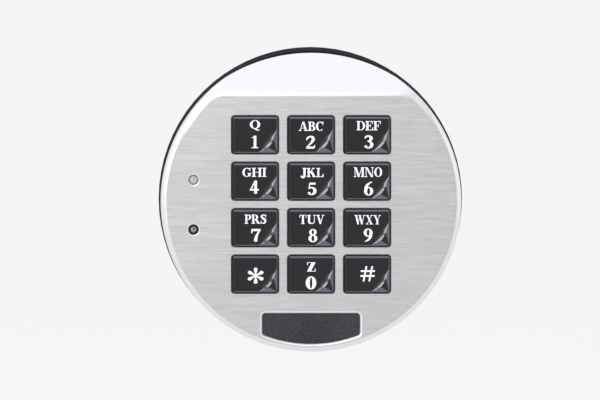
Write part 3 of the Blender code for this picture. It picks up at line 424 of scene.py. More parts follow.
class Wiring:
    """A node tree with short calls to place nodes and join them."""

    def __init__(self, tree: NodeTree) -> None:
        """Starts on a tree."""
        self.tree = tree

    def add(self, kind: str, inputs: Optional[Dict[str, object]] = None, **settings: object) -> Node:
        """Places a node.

        Args:
            kind: the node's class name.
            inputs: values or sockets for its inputs, by name or index.
            settings: its properties.

        Returns:
            The node.
        """
        node = self.tree.nodes.new(kind)
        for name, value in settings.items():
            setattr(node, name, value)
        for name, value in (inputs or {}).items():
            self.feed(node, name, value)
        return node

    def feed(self, node: Node, name: object, value: object) -> None:
        """Fills one input of a node.

        Args:
            node: the node.
            name: the input's name or index.
            value: a socket or a plain value.
        """
        socket = node.inputs[name]
        if isinstance(value, NodeSocket):
            self.tree.links.new(value, socket)
        else:
            socket.default_value = value

    def maths(self, operation: str, first: object, second: object = 0.0) -> NodeSocket:
        """The result of one Math node."""
        return self.add("ShaderNodeMath", {0: first, 1: second}, operation=operation).outputs[0]

    def times(self, first: object, second: object) -> NodeSocket:
        """The product of two values."""
        return self.maths("MULTIPLY", first, second)

    def place(self) -> NodeSocket:
        """Where a point is on its piece."""
        return self.add("ShaderNodeTexCoord").outputs["Object"]

    def group(self, tree: NodeTree, inputs: Dict[str, object]) -> Node:
        """One of the shared groups with values of its own."""
        return self.add("ShaderNodeGroup", inputs, node_tree=tree)

    def relief(self, depth: float, height: NodeSocket) -> NodeSocket:
        """The normal over a fine relief of this depth."""
        return self.add("ShaderNodeBump", {"Strength": 0.5, "Distance": depth, "Height": height}).outputs[0]

    def spread(
        self, value: object, low: object, high: object, to_low: float = 0.0, to_high: float = 1.0
    ) -> NodeSocket:
        """A value mapped from one range to another and held inside it.

        Args:
            value: the value.
            low: start of its range.
            high: end of its range.
            to_low: start of the range that it is mapped to.
            to_high: end of that range.

        Returns:
            The mapped value.
        """
        node = self.add("ShaderNodeMapRange", clamp=True)
        for index, part in enumerate((value, low, high, to_low, to_high)):
            self.feed(node, index, part)
        return node.outputs[0]

    def blend(self, factor: object, first: object, second: object) -> NodeSocket:
        """A colour between two others.

        Args:
            factor: how far it is from the first to the second.
            first: the first colour.
            second: the second colour.

        Returns:
            The colour.
        """
        node = self.add("ShaderNodeMix", data_type="RGBA", blend_type="MIX")
        for index, value in ((0, factor), (6, first), (7, second)):
            self.feed(node, index, value)
        return node.outputs[2]


class Sets:
    """Geometry Nodes trees that set out what repeats, with every size as a named input."""

    def __init__(self, bench: Bench) -> None:
        """Builds the trees.

        Args:
            bench: where the results are laid.
        """
        self.bench = bench
        grid = {
            "Pattern": "Object", "Columns": "Int", "Rows": "Int", "Pitch Across": "Float",
            "Pitch Up": "Float", "Turn": "Float", "Seed": "Int", "Material": "Material",
        }
        lengths = ("Thread Radius", "Thread Start", "Thread Length", "Lead", "Ridge")
        thread = dict.fromkeys(lengths, "Float")
        self.plain = self._tree("set_out", grid, self._plain)
        self.threaded = self._tree("set_out_threaded", {**grid, **thread}, self._threaded)

    def _tree(
        self,
        name: str,
        inputs: Dict[str, str],
        pattern: Callable[[Wiring, Node], NodeSocket],
    ) -> NodeTree:
        """Builds a tree that sets out a pattern on a grid.

        Args:
            name: the tree's name.
            inputs: the kind of each named input.
            pattern: what makes the geometry that is set out.

        Returns:
            The tree.
        """
        tree = bpy.data.node_groups.new(name, "GeometryNodeTree")
        for label, kind in inputs.items():
            tree.interface.new_socket(label, in_out="INPUT", socket_type=f"NodeSocket{kind}")
        tree.interface.new_socket("Geometry", in_out="OUTPUT", socket_type="NodeSocketGeometry")
        w = Wiring(tree)
        start = w.add("NodeGroupInput")
        columns, rows = start.outputs["Columns"], start.outputs["Rows"]
        points = w.add(
            "GeometryNodeMeshGrid",
            {
                "Size X": w.times(start.outputs["Pitch Across"], w.maths("SUBTRACT", columns, 1.0)),
                "Size Y": w.times(start.outputs["Pitch Up"], w.maths("SUBTRACT", rows, 1.0)),
                "Vertices X": columns,
                "Vertices Y": rows,
            },
        )
        turn = w.add("FunctionNodeRandomValue", {"Seed": start.outputs["Seed"]}, data_type="FLOAT")
        w.feed(turn, 2, 0.0)
        w.feed(turn, 3, start.outputs["Turn"])
        turned_about = w.add("ShaderNodeCombineXYZ", {2: turn.outputs[1]})
        copies = w.add(
            "GeometryNodeInstanceOnPoints",
            {"Points": points.outputs[0], "Instance": pattern(w, start), "Rotation": turned_about.outputs[0]},
        )
        real = w.add("GeometryNodeRealizeInstances", {"Geometry": copies.outputs[0]})
        dressed = w.add(
            "GeometryNodeSetMaterial",
            {"Geometry": real.outputs[0], "Material": start.outputs["Material"]},
        )
        w.feed(w.add("NodeGroupOutput"), 0, dressed.outputs[0])
        return tree

    def _plain(self, w: Wiring, start: Node) -> NodeSocket:
        """The pattern as it is."""
        return w.add("GeometryNodeObjectInfo", {"Object": start.outputs["Pattern"]}).outputs["Geometry"]

    def _threaded(self, w: Wiring, start: Node) -> NodeSocket:
        """The pattern with a thread wound round its axis.

        Args:
            w: the tree's wiring.
            start: its inputs.

        Returns:
            The geometry.
        """
        turns = w.maths("DIVIDE", start.outputs["Thread Length"], start.outputs["Lead"])
        helix = w.add(
            "GeometryNodeCurveSpiral",
            {
                "Resolution": 14,
                "Rotations": turns,
                "Start Radius": start.outputs["Thread Radius"],
                "End Radius": start.outputs["Thread Radius"],
                "Height": start.outputs["Thread Length"],
            },
        )
        section = w.add(
            "GeometryNodeCurvePrimitiveCircle", {"Resolution": 3, "Radius": start.outputs["Ridge"]}
        )
        ridge = w.add(
            "GeometryNodeCurveToMesh",
            {"Curve": helix.outputs[0], "Profile Curve": section.outputs[0], "Fill Caps": True},
        )
        raised = w.add("ShaderNodeCombineXYZ", {2: start.outputs["Thread Start"]})
        moved = w.add(
            "GeometryNodeTransform", {"Geometry": ridge.outputs[0], "Translation": raised.outputs[0]}
        )
        joined = w.add("GeometryNodeJoinGeometry")
        w.feed(joined, 0, moved.outputs[0])
        w.feed(joined, 0, self._plain(w, start))
        return joined.outputs[0]

    def grow(
        self,
        name: str,
        tree: NodeTree,
        pattern: Object,
        material: Material,
        sizes: Dict[str, object],
        place: Place = (0, 0, 0),
    ) -> Object:
        """Sets out a pattern and turns the result into a plain mesh; the pattern is used up.

        Args:
            name: the new piece's name.
            tree: one of this class's trees.
            pattern: the object that is repeated, modelled about the origin.
            material: its finish.
            sizes: the tree's other inputs by name.
            place: where the middle of the grid stands.

        Returns:
            The new piece, in the face frame.
        """
        obj = self.bench.lay(name, bpy.data.meshes.new(name), place)
        modifier = obj.modifiers.new("set_out", "NODES")
        modifier.node_group = tree
        values = {"Pattern": pattern, "Material": material, "Turn": 0.0, "Seed": 7, **sizes}
        for item in tree.interface.items_tree:
            if item.item_type == "SOCKET" and item.in_out == "INPUT":
                modifier[item.identifier] = values[item.name]
        self.bench.bake(obj)
        bpy.data.objects.remove(pattern, do_unlink=True)
        return obj


DUST_GREY = (0.42, 0.41, 0.40)


def rgba(colour: Colour, shade: float = 1.0) -> Tuple[float, float, float, float]:
    """A colour as a socket value, made lighter or darker."""
    return (colour[0] * shade, colour[1] * shade, colour[2] * shade, 1.0)


class Effects:
    """The shader groups that several finishes share, each built once."""

    def __init__(self) -> None:
        """Builds the groups."""
        self.grain = self._group("grain", self._grain, ("Scale", "Detail"), ("Tone", "Height"))
        self.brushing = self._group("brushing", self._brushing, ("Fine", "Length"), ("Tone", "Height"))
        self.wear = self._group("edge_wear", self._wear, ("Width", "Break-up"), ("Mask",))
        self.dust = self._group("dust", self._dust, ("Amount", "Scale"), ("Mask",))
        # The next group masks a painted highlight: the lit bevels of the key caps.
        self.painted_bevel_light = self._group("rubbed_bevels", self._painted_bevel_light, ("From", "To"), ("Mask",))
        # The next group masks a painted highlight: the bright reflection on what is turned from the front.
        self.slopes = self._group("slopes", self._painted_rim_sheen, ("Turned Away", "Flat"), ("Mask",))

    def _group(
        self,
        name: str,
        fill: Callable[[Wiring, Node, Node], None],
        inputs: Sequence[str],
        outputs: Sequence[str],
    ) -> NodeTree:
        """Makes one group with its named sockets and fills it.

        Args:
            name: the group's name.
            fill: what places the nodes between its ends.
            inputs: the names of its inputs.
            outputs: the names of its outputs.

        Returns:
            The group.
        """
        tree = bpy.data.node_groups.new(name, "ShaderNodeTree")
        for label in inputs:
            tree.interface.new_socket(label, in_out="INPUT", socket_type="NodeSocketFloat")
        for label in outputs:
            tree.interface.new_socket(label, in_out="OUTPUT", socket_type="NodeSocketFloat")
        wiring = Wiring(tree)
        fill(wiring, wiring.add("NodeGroupInput"), wiring.add("NodeGroupOutput"))
        return tree

    def _grain(self, w: Wiring, start: Node, end: Node) -> None:
        """Fine moulded grain with a slow change of tone.

        Args:
            w: the group's wiring.
            start: its inputs.
            end: its outputs.
        """
        place = w.place()
        sizes = {"Scale": start.outputs["Scale"], "Detail": start.outputs["Detail"]}
        fine = w.add("ShaderNodeTexNoise", {"Vector": place, **sizes, "Roughness": 0.6}).outputs[0]
        slow = w.add("ShaderNodeTexNoise", {"Vector": place, "Scale": 90.0, "Detail": 3.0}).outputs[0]
        tone = w.maths("ADD", w.times(fine, 0.7), w.times(slow, 0.3))
        w.feed(end, "Tone", w.spread(tone, 0.3, 0.7))
        w.feed(end, "Height", fine)

    def _brushing(self, w: Wiring, start: Node, end: Node) -> None:
        """Streaks from side to side in three widths.

        Args:
            w: the group's wiring.
            start: its inputs.
            end: its outputs.
        """
        place = w.place()
        parts = w.add("ShaderNodeSeparateXYZ", {0: place})
        long = w.times(parts.outputs[0], start.outputs["Length"])
        layers = []
        for share, seed in ((1.0, 0.0), (0.4, 3.1), (0.15, 7.7)):
            across = w.times(start.outputs["Fine"], share)
            spot = w.add(
                "ShaderNodeCombineXYZ",
                {
                    0: w.times(long, share**0.5),
                    1: w.times(parts.outputs[1], across),
                    2: w.times(parts.outputs[2], across),
                },
            ).outputs[0]
            noise = w.add(
                "ShaderNodeTexNoise",
                {"Vector": spot, "W": seed, "Scale": 1.0, "Detail": 2.0, "Roughness": 0.55},
                noise_dimensions="4D",
            )
            layers.append(noise.outputs[0])
        tone = w.maths("ADD", w.times(layers[0], 0.55), w.times(layers[1], 0.3))
        tone = w.maths("ADD", tone, w.times(layers[2], 0.15))
        w.feed(end, "Tone", w.spread(tone, 0.36, 0.64))
        w.feed(end, "Height", layers[0])

    def _wear(self, w: Wiring, start: Node, end: Node) -> None:
        """A mask on outer edges, broken up by noise.

        Args:
            w: the group's wiring.
            start: its inputs.
            end: its outputs.
        """
        sharp = w.add("ShaderNodeNewGeometry").outputs["Pointiness"]
        place = w.place()
        patches = w.add(
            "ShaderNodeTexNoise", {"Vector": place, "Scale": start.outputs["Break-up"], "Detail": 4.0}
        ).outputs[0]
        edge = w.maths("SUBTRACT", sharp, w.maths("SUBTRACT", 0.56, start.outputs["Width"]))
        mask = w.times(w.spread(edge, 0.0, 0.06), w.spread(patches, 0.42, 0.62))
        w.feed(end, "Mask", mask)

    def _dust(self, w: Wiring, start: Node, end: Node) -> None:
        """A thin veil that lies more on what faces up.

        Args:
            w: the group's wiring.
            start: its inputs.
            end: its outputs.
        """
        coordinates = w.add("ShaderNodeTexCoord")
        upward = w.add("ShaderNodeSeparateXYZ", {0: coordinates.outputs["Normal"]}).outputs[2]
        specks = w.add(
            "ShaderNodeTexNoise",
            {"Vector": coordinates.outputs["Object"], "Scale": start.outputs["Scale"], "Detail": 6.0},
        ).outputs[0]
        lying = w.times(w.spread(upward, -0.2, 1.0, 0.15, 1.0), w.spread(specks, 0.45, 0.75))
        w.feed(end, "Mask", w.times(lying, start.outputs["Amount"]))

    def _painted_bevel_light(self, w: Wiring, start: Node, end: Node) -> None:
        """A mask on the upper, lower and right-hand bevels, which fingers rub dull.

        Args:
            w: the group's wiring.
            start: its inputs.
            end: its outputs.
        """
        # A mask on the upper, lower and right-hand bevels, where a lighter colour is painted as the highlight
        # that the lamps make on them; the left bevels and the side walls are left out.
        normal = w.add("ShaderNodeTexCoord").outputs["Normal"]
        parts = w.add("ShaderNodeSeparateXYZ", {0: normal})
        turned = w.maths("MAXIMUM", parts.outputs[0], w.maths("ABSOLUTE", parts.outputs[2]))
        bevel = w.spread(turned, start.outputs["From"], start.outputs["To"])
        w.feed(end, "Mask", w.times(bevel, w.spread(parts.outputs[1], -0.5, -0.3, 1.0, 0.0)))

    def _painted_rim_sheen(self, w: Wiring, start: Node, end: Node) -> None:
        """A mask on what is turned away from the front, where a lighter colour is painted as the bright
        reflection of the rounded rim and the chamfers.

        Args:
            w: the group's wiring.
            start: its inputs.
            end: its outputs.
        """
        normal = w.add("ShaderNodeTexCoord").outputs["Normal"]
        facing = w.add("ShaderNodeSeparateXYZ", {0: normal}).outputs[1]
        facing = w.times(facing, -1.0)
        w.feed(end, "Mask", w.spread(facing, start.outputs["Turned Away"], start.outputs["Flat"], 1.0, 0.0))


@dataclass(frozen=True)
class Moulded:
    """Moulded plastic or rubber with grain, worn edges and a trace of dust."""

    name: str
    colour: Colour
    roughness: float
    specular: float = 0.5
    grain: float = 5200.0
    depth: float = 0.00001
    mottling: float = 0.12
    wear: float = 0.0
    dust: float = 0.03
    # A lighter colour painted on the lit bevels as their highlight.
    painted_bevel_light: Optional[Colour] = None
    bands: Tuple[Tuple[int, float, float, Colour], ...] = ()

    def material(self, effects: Effects) -> Material:
        """Builds the material.

        Args:
            effects: the shared groups.

        Returns:
            The material.
        """
        made, w, shader = new_material(self.name)
        grain = w.group(effects.grain, {"Scale": self.grain, "Detail": 4.0})
        dark, light = (rgba(self.colour, 1 + way * self.mottling) for way in (-1, 1))
        tone = w.blend(grain.outputs["Tone"], dark, light)
        if self.bands:
            place = w.add("ShaderNodeSeparateXYZ", {0: w.place()})
            for axis, low, high, colour in self.bands:
                along = place.outputs[axis]
                inside = w.times(w.maths("GREATER_THAN", along, low), w.maths("LESS_THAN", along, high))
                tone = w.blend(inside, tone, rgba(colour))
        if self.wear:
            worn = w.group(effects.wear, {"Width": self.wear, "Break-up": 900.0})
            paler = tuple(0.6 * part + 0.06 for part in self.colour)
            tone = w.blend(worn.outputs["Mask"], tone, rgba(paler))
        veil = w.group(effects.dust, {"Amount": self.dust, "Scale": 260.0})
        tone = w.blend(veil.outputs["Mask"], tone, rgba(DUST_GREY))
        # Painted highlight: the upper, lower and right-hand bevels get the lighter colour.
        if self.painted_bevel_light:
            painted_lit_bevels = w.group(effects.painted_bevel_light, {"From": 0.20, "To": 0.30})
            tone = w.blend(painted_lit_bevels.outputs["Mask"], tone, rgba(self.painted_bevel_light))
        w.feed(shader, "Base Color", tone)
        low, high = 0.93 * self.roughness, min(1.07 * self.roughness, 1.0)
        w.feed(shader, "Roughness", w.spread(grain.outputs["Tone"], 0.0, 1.0, low, high))
        w.feed(shader, "Specular IOR Level", self.specular)
        w.feed(shader, "Normal", w.relief(self.depth, grain.outputs["Height"]))
        return made


@dataclass(frozen=True)
class Metal:
    """Bare, brushed or plated metal."""

    name: str
    colour: Colour
    roughness: float
    streak: float = 0.05
    fine: float = 5200.0
    length: float = 110.0
    depth: float = 0.000004
    wear: float = 0.0
    # A lighter colour painted on what is turned from the front, as the bright reflection of the rim and
    # chamfers.
    painted_sheen_colour: Optional[Colour] = None

    def material(self, effects: Effects) -> Material:
        """Builds the material.

        Args:
            effects: the shared groups.

        Returns:
            The material.
        """
        made, w, shader = new_material(self.name)
        lines = w.group(effects.brushing, {"Fine": self.fine, "Length": self.length})
        dark, light = (rgba(self.colour, 1 + way * self.streak) for way in (-1, 1))
        tone = w.blend(lines.outputs["Tone"], dark, light)
        if self.wear:
            worn = w.group(effects.wear, {"Width": self.wear, "Break-up": 1400.0})
            tone = w.blend(worn.outputs["Mask"], tone, rgba(self.colour, 1.15))
        # Painted highlight: what is turned from the front gets the lighter colour.
        if self.painted_sheen_colour:
            slopes = w.group(effects.slopes, {"Turned Away": 0.93, "Flat": 0.998})
            tone = w.blend(slopes.outputs["Mask"], tone, rgba(self.painted_sheen_colour))
        w.feed(shader, "Base Color", tone)
        w.feed(shader, "Metallic", 1.0)
        low, high = 0.92 * self.roughness, 1.08 * self.roughness
        w.feed(shader, "Roughness", w.spread(lines.outputs["Tone"], 0.0, 1.0, low, high))
        w.feed(shader, "Normal", w.relief(self.depth, lines.outputs["Height"]))
        return made


def new_material(name: str) -> Tuple[Material, Wiring, Node]:
    """An empty node material with its Principled shader.

    Args:
        name: the material's name.

    Returns:
        The material, the wiring of its tree and its shader.
    """
    made = bpy.data.materials.new(name)
    made.use_nodes = True
    return made, Wiring(made.node_tree), made.node_tree.nodes["Principled BSDF"]


class Finishes:
    """All finishes of the lock, built when they are first asked for."""

    def __init__(self) -> None:
        """Builds the shared effects."""
        self.effects = Effects()
        self.made: Dict[str, Material] = {}

    def __call__(self, finish: object) -> Material:
        """The material of a finish."""
        if finish.name not in self.made:
            self.made[finish.name] = finish.material(self.effects)
        return self.made[finish.name]


# The bezel carries a painted highlight: its rim and chamfers are painted lighter than the face.
BRUSHED_FACE = Metal(
    "brushed_face", (0.518, 0.518, 0.518), 0.31, streak=0.095, fine=3600.0, length=130.0,
    painted_sheen_colour=(0.80, 0.795, 0.825),
)
ZINC = Metal("zinc_plate", (0.50, 0.50, 0.52), 0.30, streak=0.08, fine=2600.0, length=2600.0, wear=0.02)
BRASS = Metal("spring_strip", (0.75, 0.58, 0.30), 0.28, streak=0.08, fine=4200.0, length=200.0)
# The key caps carry a painted highlight: a lighter blue-grey on their lit bevels.
KEY_GLOSS = Moulded(
    "key_gloss", (0.006, 0.006, 0.008), 0.14, specular=0.34, grain=1500.0, depth=0.000003, mottling=0.3,
    dust=0.004, painted_bevel_light=(0.095, 0.10, 0.135),
)
LEGEND_INK = Moulded("legend_ink", (0.78, 0.82, 0.84), 0.45, grain=6000.0, mottling=0.05, depth=0.000004)
HOUSING_BLACK = Moulded(
    "housing_black", (0.011, 0.012, 0.019), 0.72, specular=0.014, grain=3000.0, depth=0.00001, dust=0.004
)
BADGE_BLACK = Moulded(
    "badge_black", (0.025, 0.027, 0.034), 0.75, specular=0.3, grain=1300.0, depth=0.00008, mottling=0.8
)
MAT_RUBBER = Moulded("mat_rubber", (0.55, 0.56, 0.58), 0.65, grain=3000.0, dust=0.06)
BOARD_MASK = Moulded("board_mask", (0.03, 0.16, 0.08), 0.35, grain=900.0, mottling=0.25, depth=0.00001)
CREAM = Moulded("cream_moulding", (0.75, 0.72, 0.62), 0.50, grain=3500.0, mottling=0.06)
JACKET = Moulded(
    "battery_jacket", (0.05, 0.06, 0.09), 0.33, grain=1200.0, mottling=0.08, wear=0.012,
    bands=(
        (2, -0.0485, -0.0478, (0.55, 0.55, 0.56)),
        (2, -0.0200, -0.0032, (0.62, 0.36, 0.16)),
        (2, -0.0026, 0.0, (0.6, 0.6, 0.61)),
    ),
)
CAN_SLEEVE = Moulded(
    "can_sleeve", (0.03, 0.04, 0.07), 0.35, grain=1500.0, mottling=0.08,
    bands=((0, 0.0231, 0.0250, (0.55, 0.57, 0.6)), (1, -0.0213, -0.0200, (0.62, 0.62, 0.63))),
)
FOAM = Moulded(
    "foam_gasket", (0.045, 0.045, 0.047), 0.9, specular=0.1, grain=2600.0, depth=0.00012, mottling=0.35,
    dust=0.08,
)
CHIP_BLACK = Moulded("chip_black", (0.022, 0.022, 0.026), 0.45, grain=4000.0, mottling=0.2)
CLEAR_LENS = Moulded(
    "clear_lens", (0.40, 0.40, 0.395), 0.25, grain=800.0, mottling=0.08, depth=0.000002, dust=0.0
)
DARK_LENS = Moulded(
    "dark_lens", (0.24, 0.235, 0.24), 0.16, grain=800.0, mottling=0.08, depth=0.000002, dust=0.0
)
DIE_GREY = Moulded("die_grey", (0.24, 0.24, 0.235), 0.5, grain=1500.0, depth=0.000003, dust=0.0)
COLLAR_BLACK = Moulded(
    "collar_black", (0.006, 0.006, 0.007), 0.35, specular=0.2, grain=1500.0, depth=0.000003, dust=0.0
)


@dataclass
class SubAssembly:
    """A part of the lock, which is made on the bench and dressed in its finishes."""

    bench: Bench
    finishes: Finishes

    def dress(self, obj: Object, body: str, finish: object, slot: Slot, replaces: Sequence[str] = ()) -> None:
        """Hands a piece over to its body in one of the finishes."""
        self.bench.hand_over(obj, body, self.finishes(finish), slot, replaces)


def middles(nodes: Sequence[str]) -> Tuple[Point, ...]:
    """Where CAD nodes stand on the face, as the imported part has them.

    Args:
        nodes: their names.

    Returns:
        Their middles, across and up.
    """
    spots = []
    for node in nodes:
        low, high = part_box(node)
        spots.append(((low[0] + high[0]) / 2, (low[2] + high[2]) / 2))
    return tuple(spots)


def numbered(kind: str) -> List[str]:
    """The names of a set of four CAD nodes."""
    return [f"{kind}_{number}" for number in range(1, 5)]


@dataclass(frozen=True)
class Bosses:
    """A set of screw bosses behind the face, with their pilot holes, that stand where the screws are."""

    screws: str
    radius: float
    back: float
    pilot: float
    depth: float

    def places(self) -> Tuple[Point, ...]:
        """Where they stand on the face."""
        return middles(numbered(self.screws))


@dataclass
class Bezel(SubAssembly):
    """The brushed front: a rounded disc with a sloped facet, openings, bosses and a spigot."""

    radius: float = FACE_RADIUS
    rounding: float = 0.0022
    shoulder_back: float = 0.0286
    spigot_back: float = 0.0252
    spigot_radius: float = 0.048698
    bore: float = 0.047198
    facet_edge: float = 0.036498
    facet_angle: float = math.radians(30.5)
    facet_blend: float = 0.0009
    corner_radius: float = 0.0075
    facet_runout: float = math.radians(24)
    runout_steps: int = 10
    corner_steps: int = 12
    corner_share: float = 0.92
    least_share: float = 0.02
    tool_reach: float = 0.024
    tool_height: float = 0.012
    flat_radius: float = 0.0550
    flat_drop: float = 0.00455
    wall: float = 0.0025
    steps: int = 288
    led_hole: float = 0.0018
    led_chamfer: float = 0.00035
    boss_root: float = 0.001
    pillars: Bosses = Bosses("bezel_screw", 0.0034, 0.0267, 0.0018, 0.0051)
    posts: Bosses = Bosses("board_screw", 0.0028, 0.0311, 0.00155, 0.0042)

    def facet_block(self, depth: float) -> Object:
        """A block above the sloped facet, which lies this deep under the outer facet."""
        reach = 2 * self.radius
        mesh = block(-reach, reach, -reach, reach, -depth, reach)
        return self.bench.lay("facet_block", mesh, (0, self.facet_edge, FACE), (-self.facet_angle, 0, 0))

    def facet_tool(self) -> Object:
        """The cutter of the facet, whose slope turns round two corners and dies out into the rounded rim.

        Returns:
            The cutter.
        """
        slope = math.tan(self.facet_angle)
        blend = self.facet_blend
        fillet = 2 * blend / slope
        start, far, high = -1.3 * blend, self.tool_reach, self.tool_height
        fall = [(start, HAIR)]
        fall += [(-blend + n * blend / 4, -((n * blend / 4) ** 2) / (2 * fillet)) for n in range(1, 8)]
        fall += [(blend, -blend * slope), (far, -far * slope), (far, high), (start, high)]
        inner = self.radius - self.rounding
        low = self.facet_edge - self.corner_radius
        across = math.sqrt((inner - self.corner_radius) ** 2 - low**2)
        end = math.atan2(low, across)
        stations = []
        for n in range(self.runout_steps):
            part = n / self.runout_steps
            share = max(self.least_share, self.corner_share * math.sin(math.pi / 2 * part) ** 2)
            stations.append((0.0, 0.0, inner, end - self.facet_runout * (1 - part), share))
        for n in range(self.corner_steps + 1):
            part = n / self.corner_steps
            angle = end + (math.pi / 2 - end) * part
            share = self.corner_share + (1 - self.corner_share) * part
            stations.append((across, low, self.corner_radius, angle, share))
        bm = bmesh.new()
        rings = []
        for side in (1, -1):
            for x, y, radius, angle, share in stations if side == 1 else stations[::-1]:
                way = (side * math.cos(angle), math.sin(angle))
                ring = []
                for out, rise in fall:
                    reach, height = radius + out, rise * share if rise < 0 else rise
                    spot = (side * x + way[0] * reach, y + way[1] * reach, FACE + height)
                    ring.append(bm.verts.new(spot))
                rings.append(ring)
        return self.bench.lay("facet_tool", sculpted(bm, rings))

    def outer(self) -> Object:
        """The outer form, with the facet cut and the top edge slightly flattened.

        Returns:
            The body.
        """
        centre = (self.radius - self.rounding, FACE - self.rounding)
        profile = [(0, FACE)] + arc(centre, self.rounding, math.pi / 2, 0, 12)
        profile += [
            (self.radius, self.shoulder_back),
            (self.spigot_radius, self.shoulder_back),
            (self.spigot_radius, self.spigot_back),
            (0, self.spigot_back),
        ]
        body = self.bench.lay("bezel_skin", turned(profile, self.steps))
        bm = bmesh.new()
        bm.from_mesh(body.data)
        flat = [f for f in bm.faces if f.normal.z > 0.999]
        bmesh.ops.dissolve_faces(bm, faces=flat)
        bm.to_mesh(body.data)
        bm.free()
        self.bench.cut(body, [self.facet_tool()])
        flat = rod(self.flat_radius, self.spigot_back - OVERRUN, FACE + OVERRUN, self.steps)
        self.bench.cut(body, [self.bench.lay("flat", flat, (0, -self.flat_drop, 0))], Cut.WITHIN)
        return body

    def cavity(self) -> Object:
        """The hollow, which follows the facet at one wall's depth."""
        mouth = self.spigot_back - OVERRUN
        hollow = self.bench.lay("cavity", rod(self.bore, mouth, FACE_BACK, 144))
        self.bench.cut(hollow, [self.facet_block(self.wall)])
        return hollow

    def bosses(self) -> List[Object]:
        """The screw bosses inside, the upper two of which follow the facet.

        Returns:
            The bosses.
        """
        made = []
        for kind in (self.pillars, self.posts):
            for place in kind.places():
                boss = rod(kind.radius, kind.back, FACE_BACK + self.boss_root)
                made.append(self.bench.lay("boss", boss, (*place, 0)))
        for boss in made[:2]:
            self.bench.cut(boss, [self.facet_block(self.wall / 2)])
        return made

    def holes(self) -> List[Object]:
        """Pilot holes in the bosses and the two holes for the lights.

        Returns:
            Their cutters.
        """
        made = []
        for kind in (self.pillars, self.posts):
            tool = rod(kind.pilot, kind.back - OVERRUN, kind.back + kind.depth)
            made += [self.bench.lay("pilot", tool, (*place, 0)) for place in kind.places()]
        profile = [
            (0, FACE_BACK - OVERRUN),
            (self.led_hole, FACE_BACK - OVERRUN),
            (self.led_hole, FACE - CHAMFER_SLOPE * self.led_chamfer),
            (self.led_hole + self.led_chamfer, FACE),
            (self.led_hole + self.led_chamfer, FACE + OVERRUN),
            (0, FACE + OVERRUN),
        ]
        for place in middles(("led_upper", "led_lower")):
            made.append(self.bench.lay("light_hole", turned(profile, 48), (*place, 0)))
        return made

    def build(self, cutters: List[Object]) -> None:
        """Makes the bezel and hands it over.

        Args:
            cutters: the openings for the keys and the badge.
        """
        body = self.outer()
        self.bench.cut(body, [self.cavity()])
        inside = self.bench.bake(body)
        bosses = self.bosses()
        self.bench.cut(inside, bosses, Cut.ON)
        self.bench.cut(inside, cutters + self.holes())
        self.dress(inside, LOCK_BODY, BRUSHED_FACE, Slot.BRUSHED_METAL, ["front_bezel"])


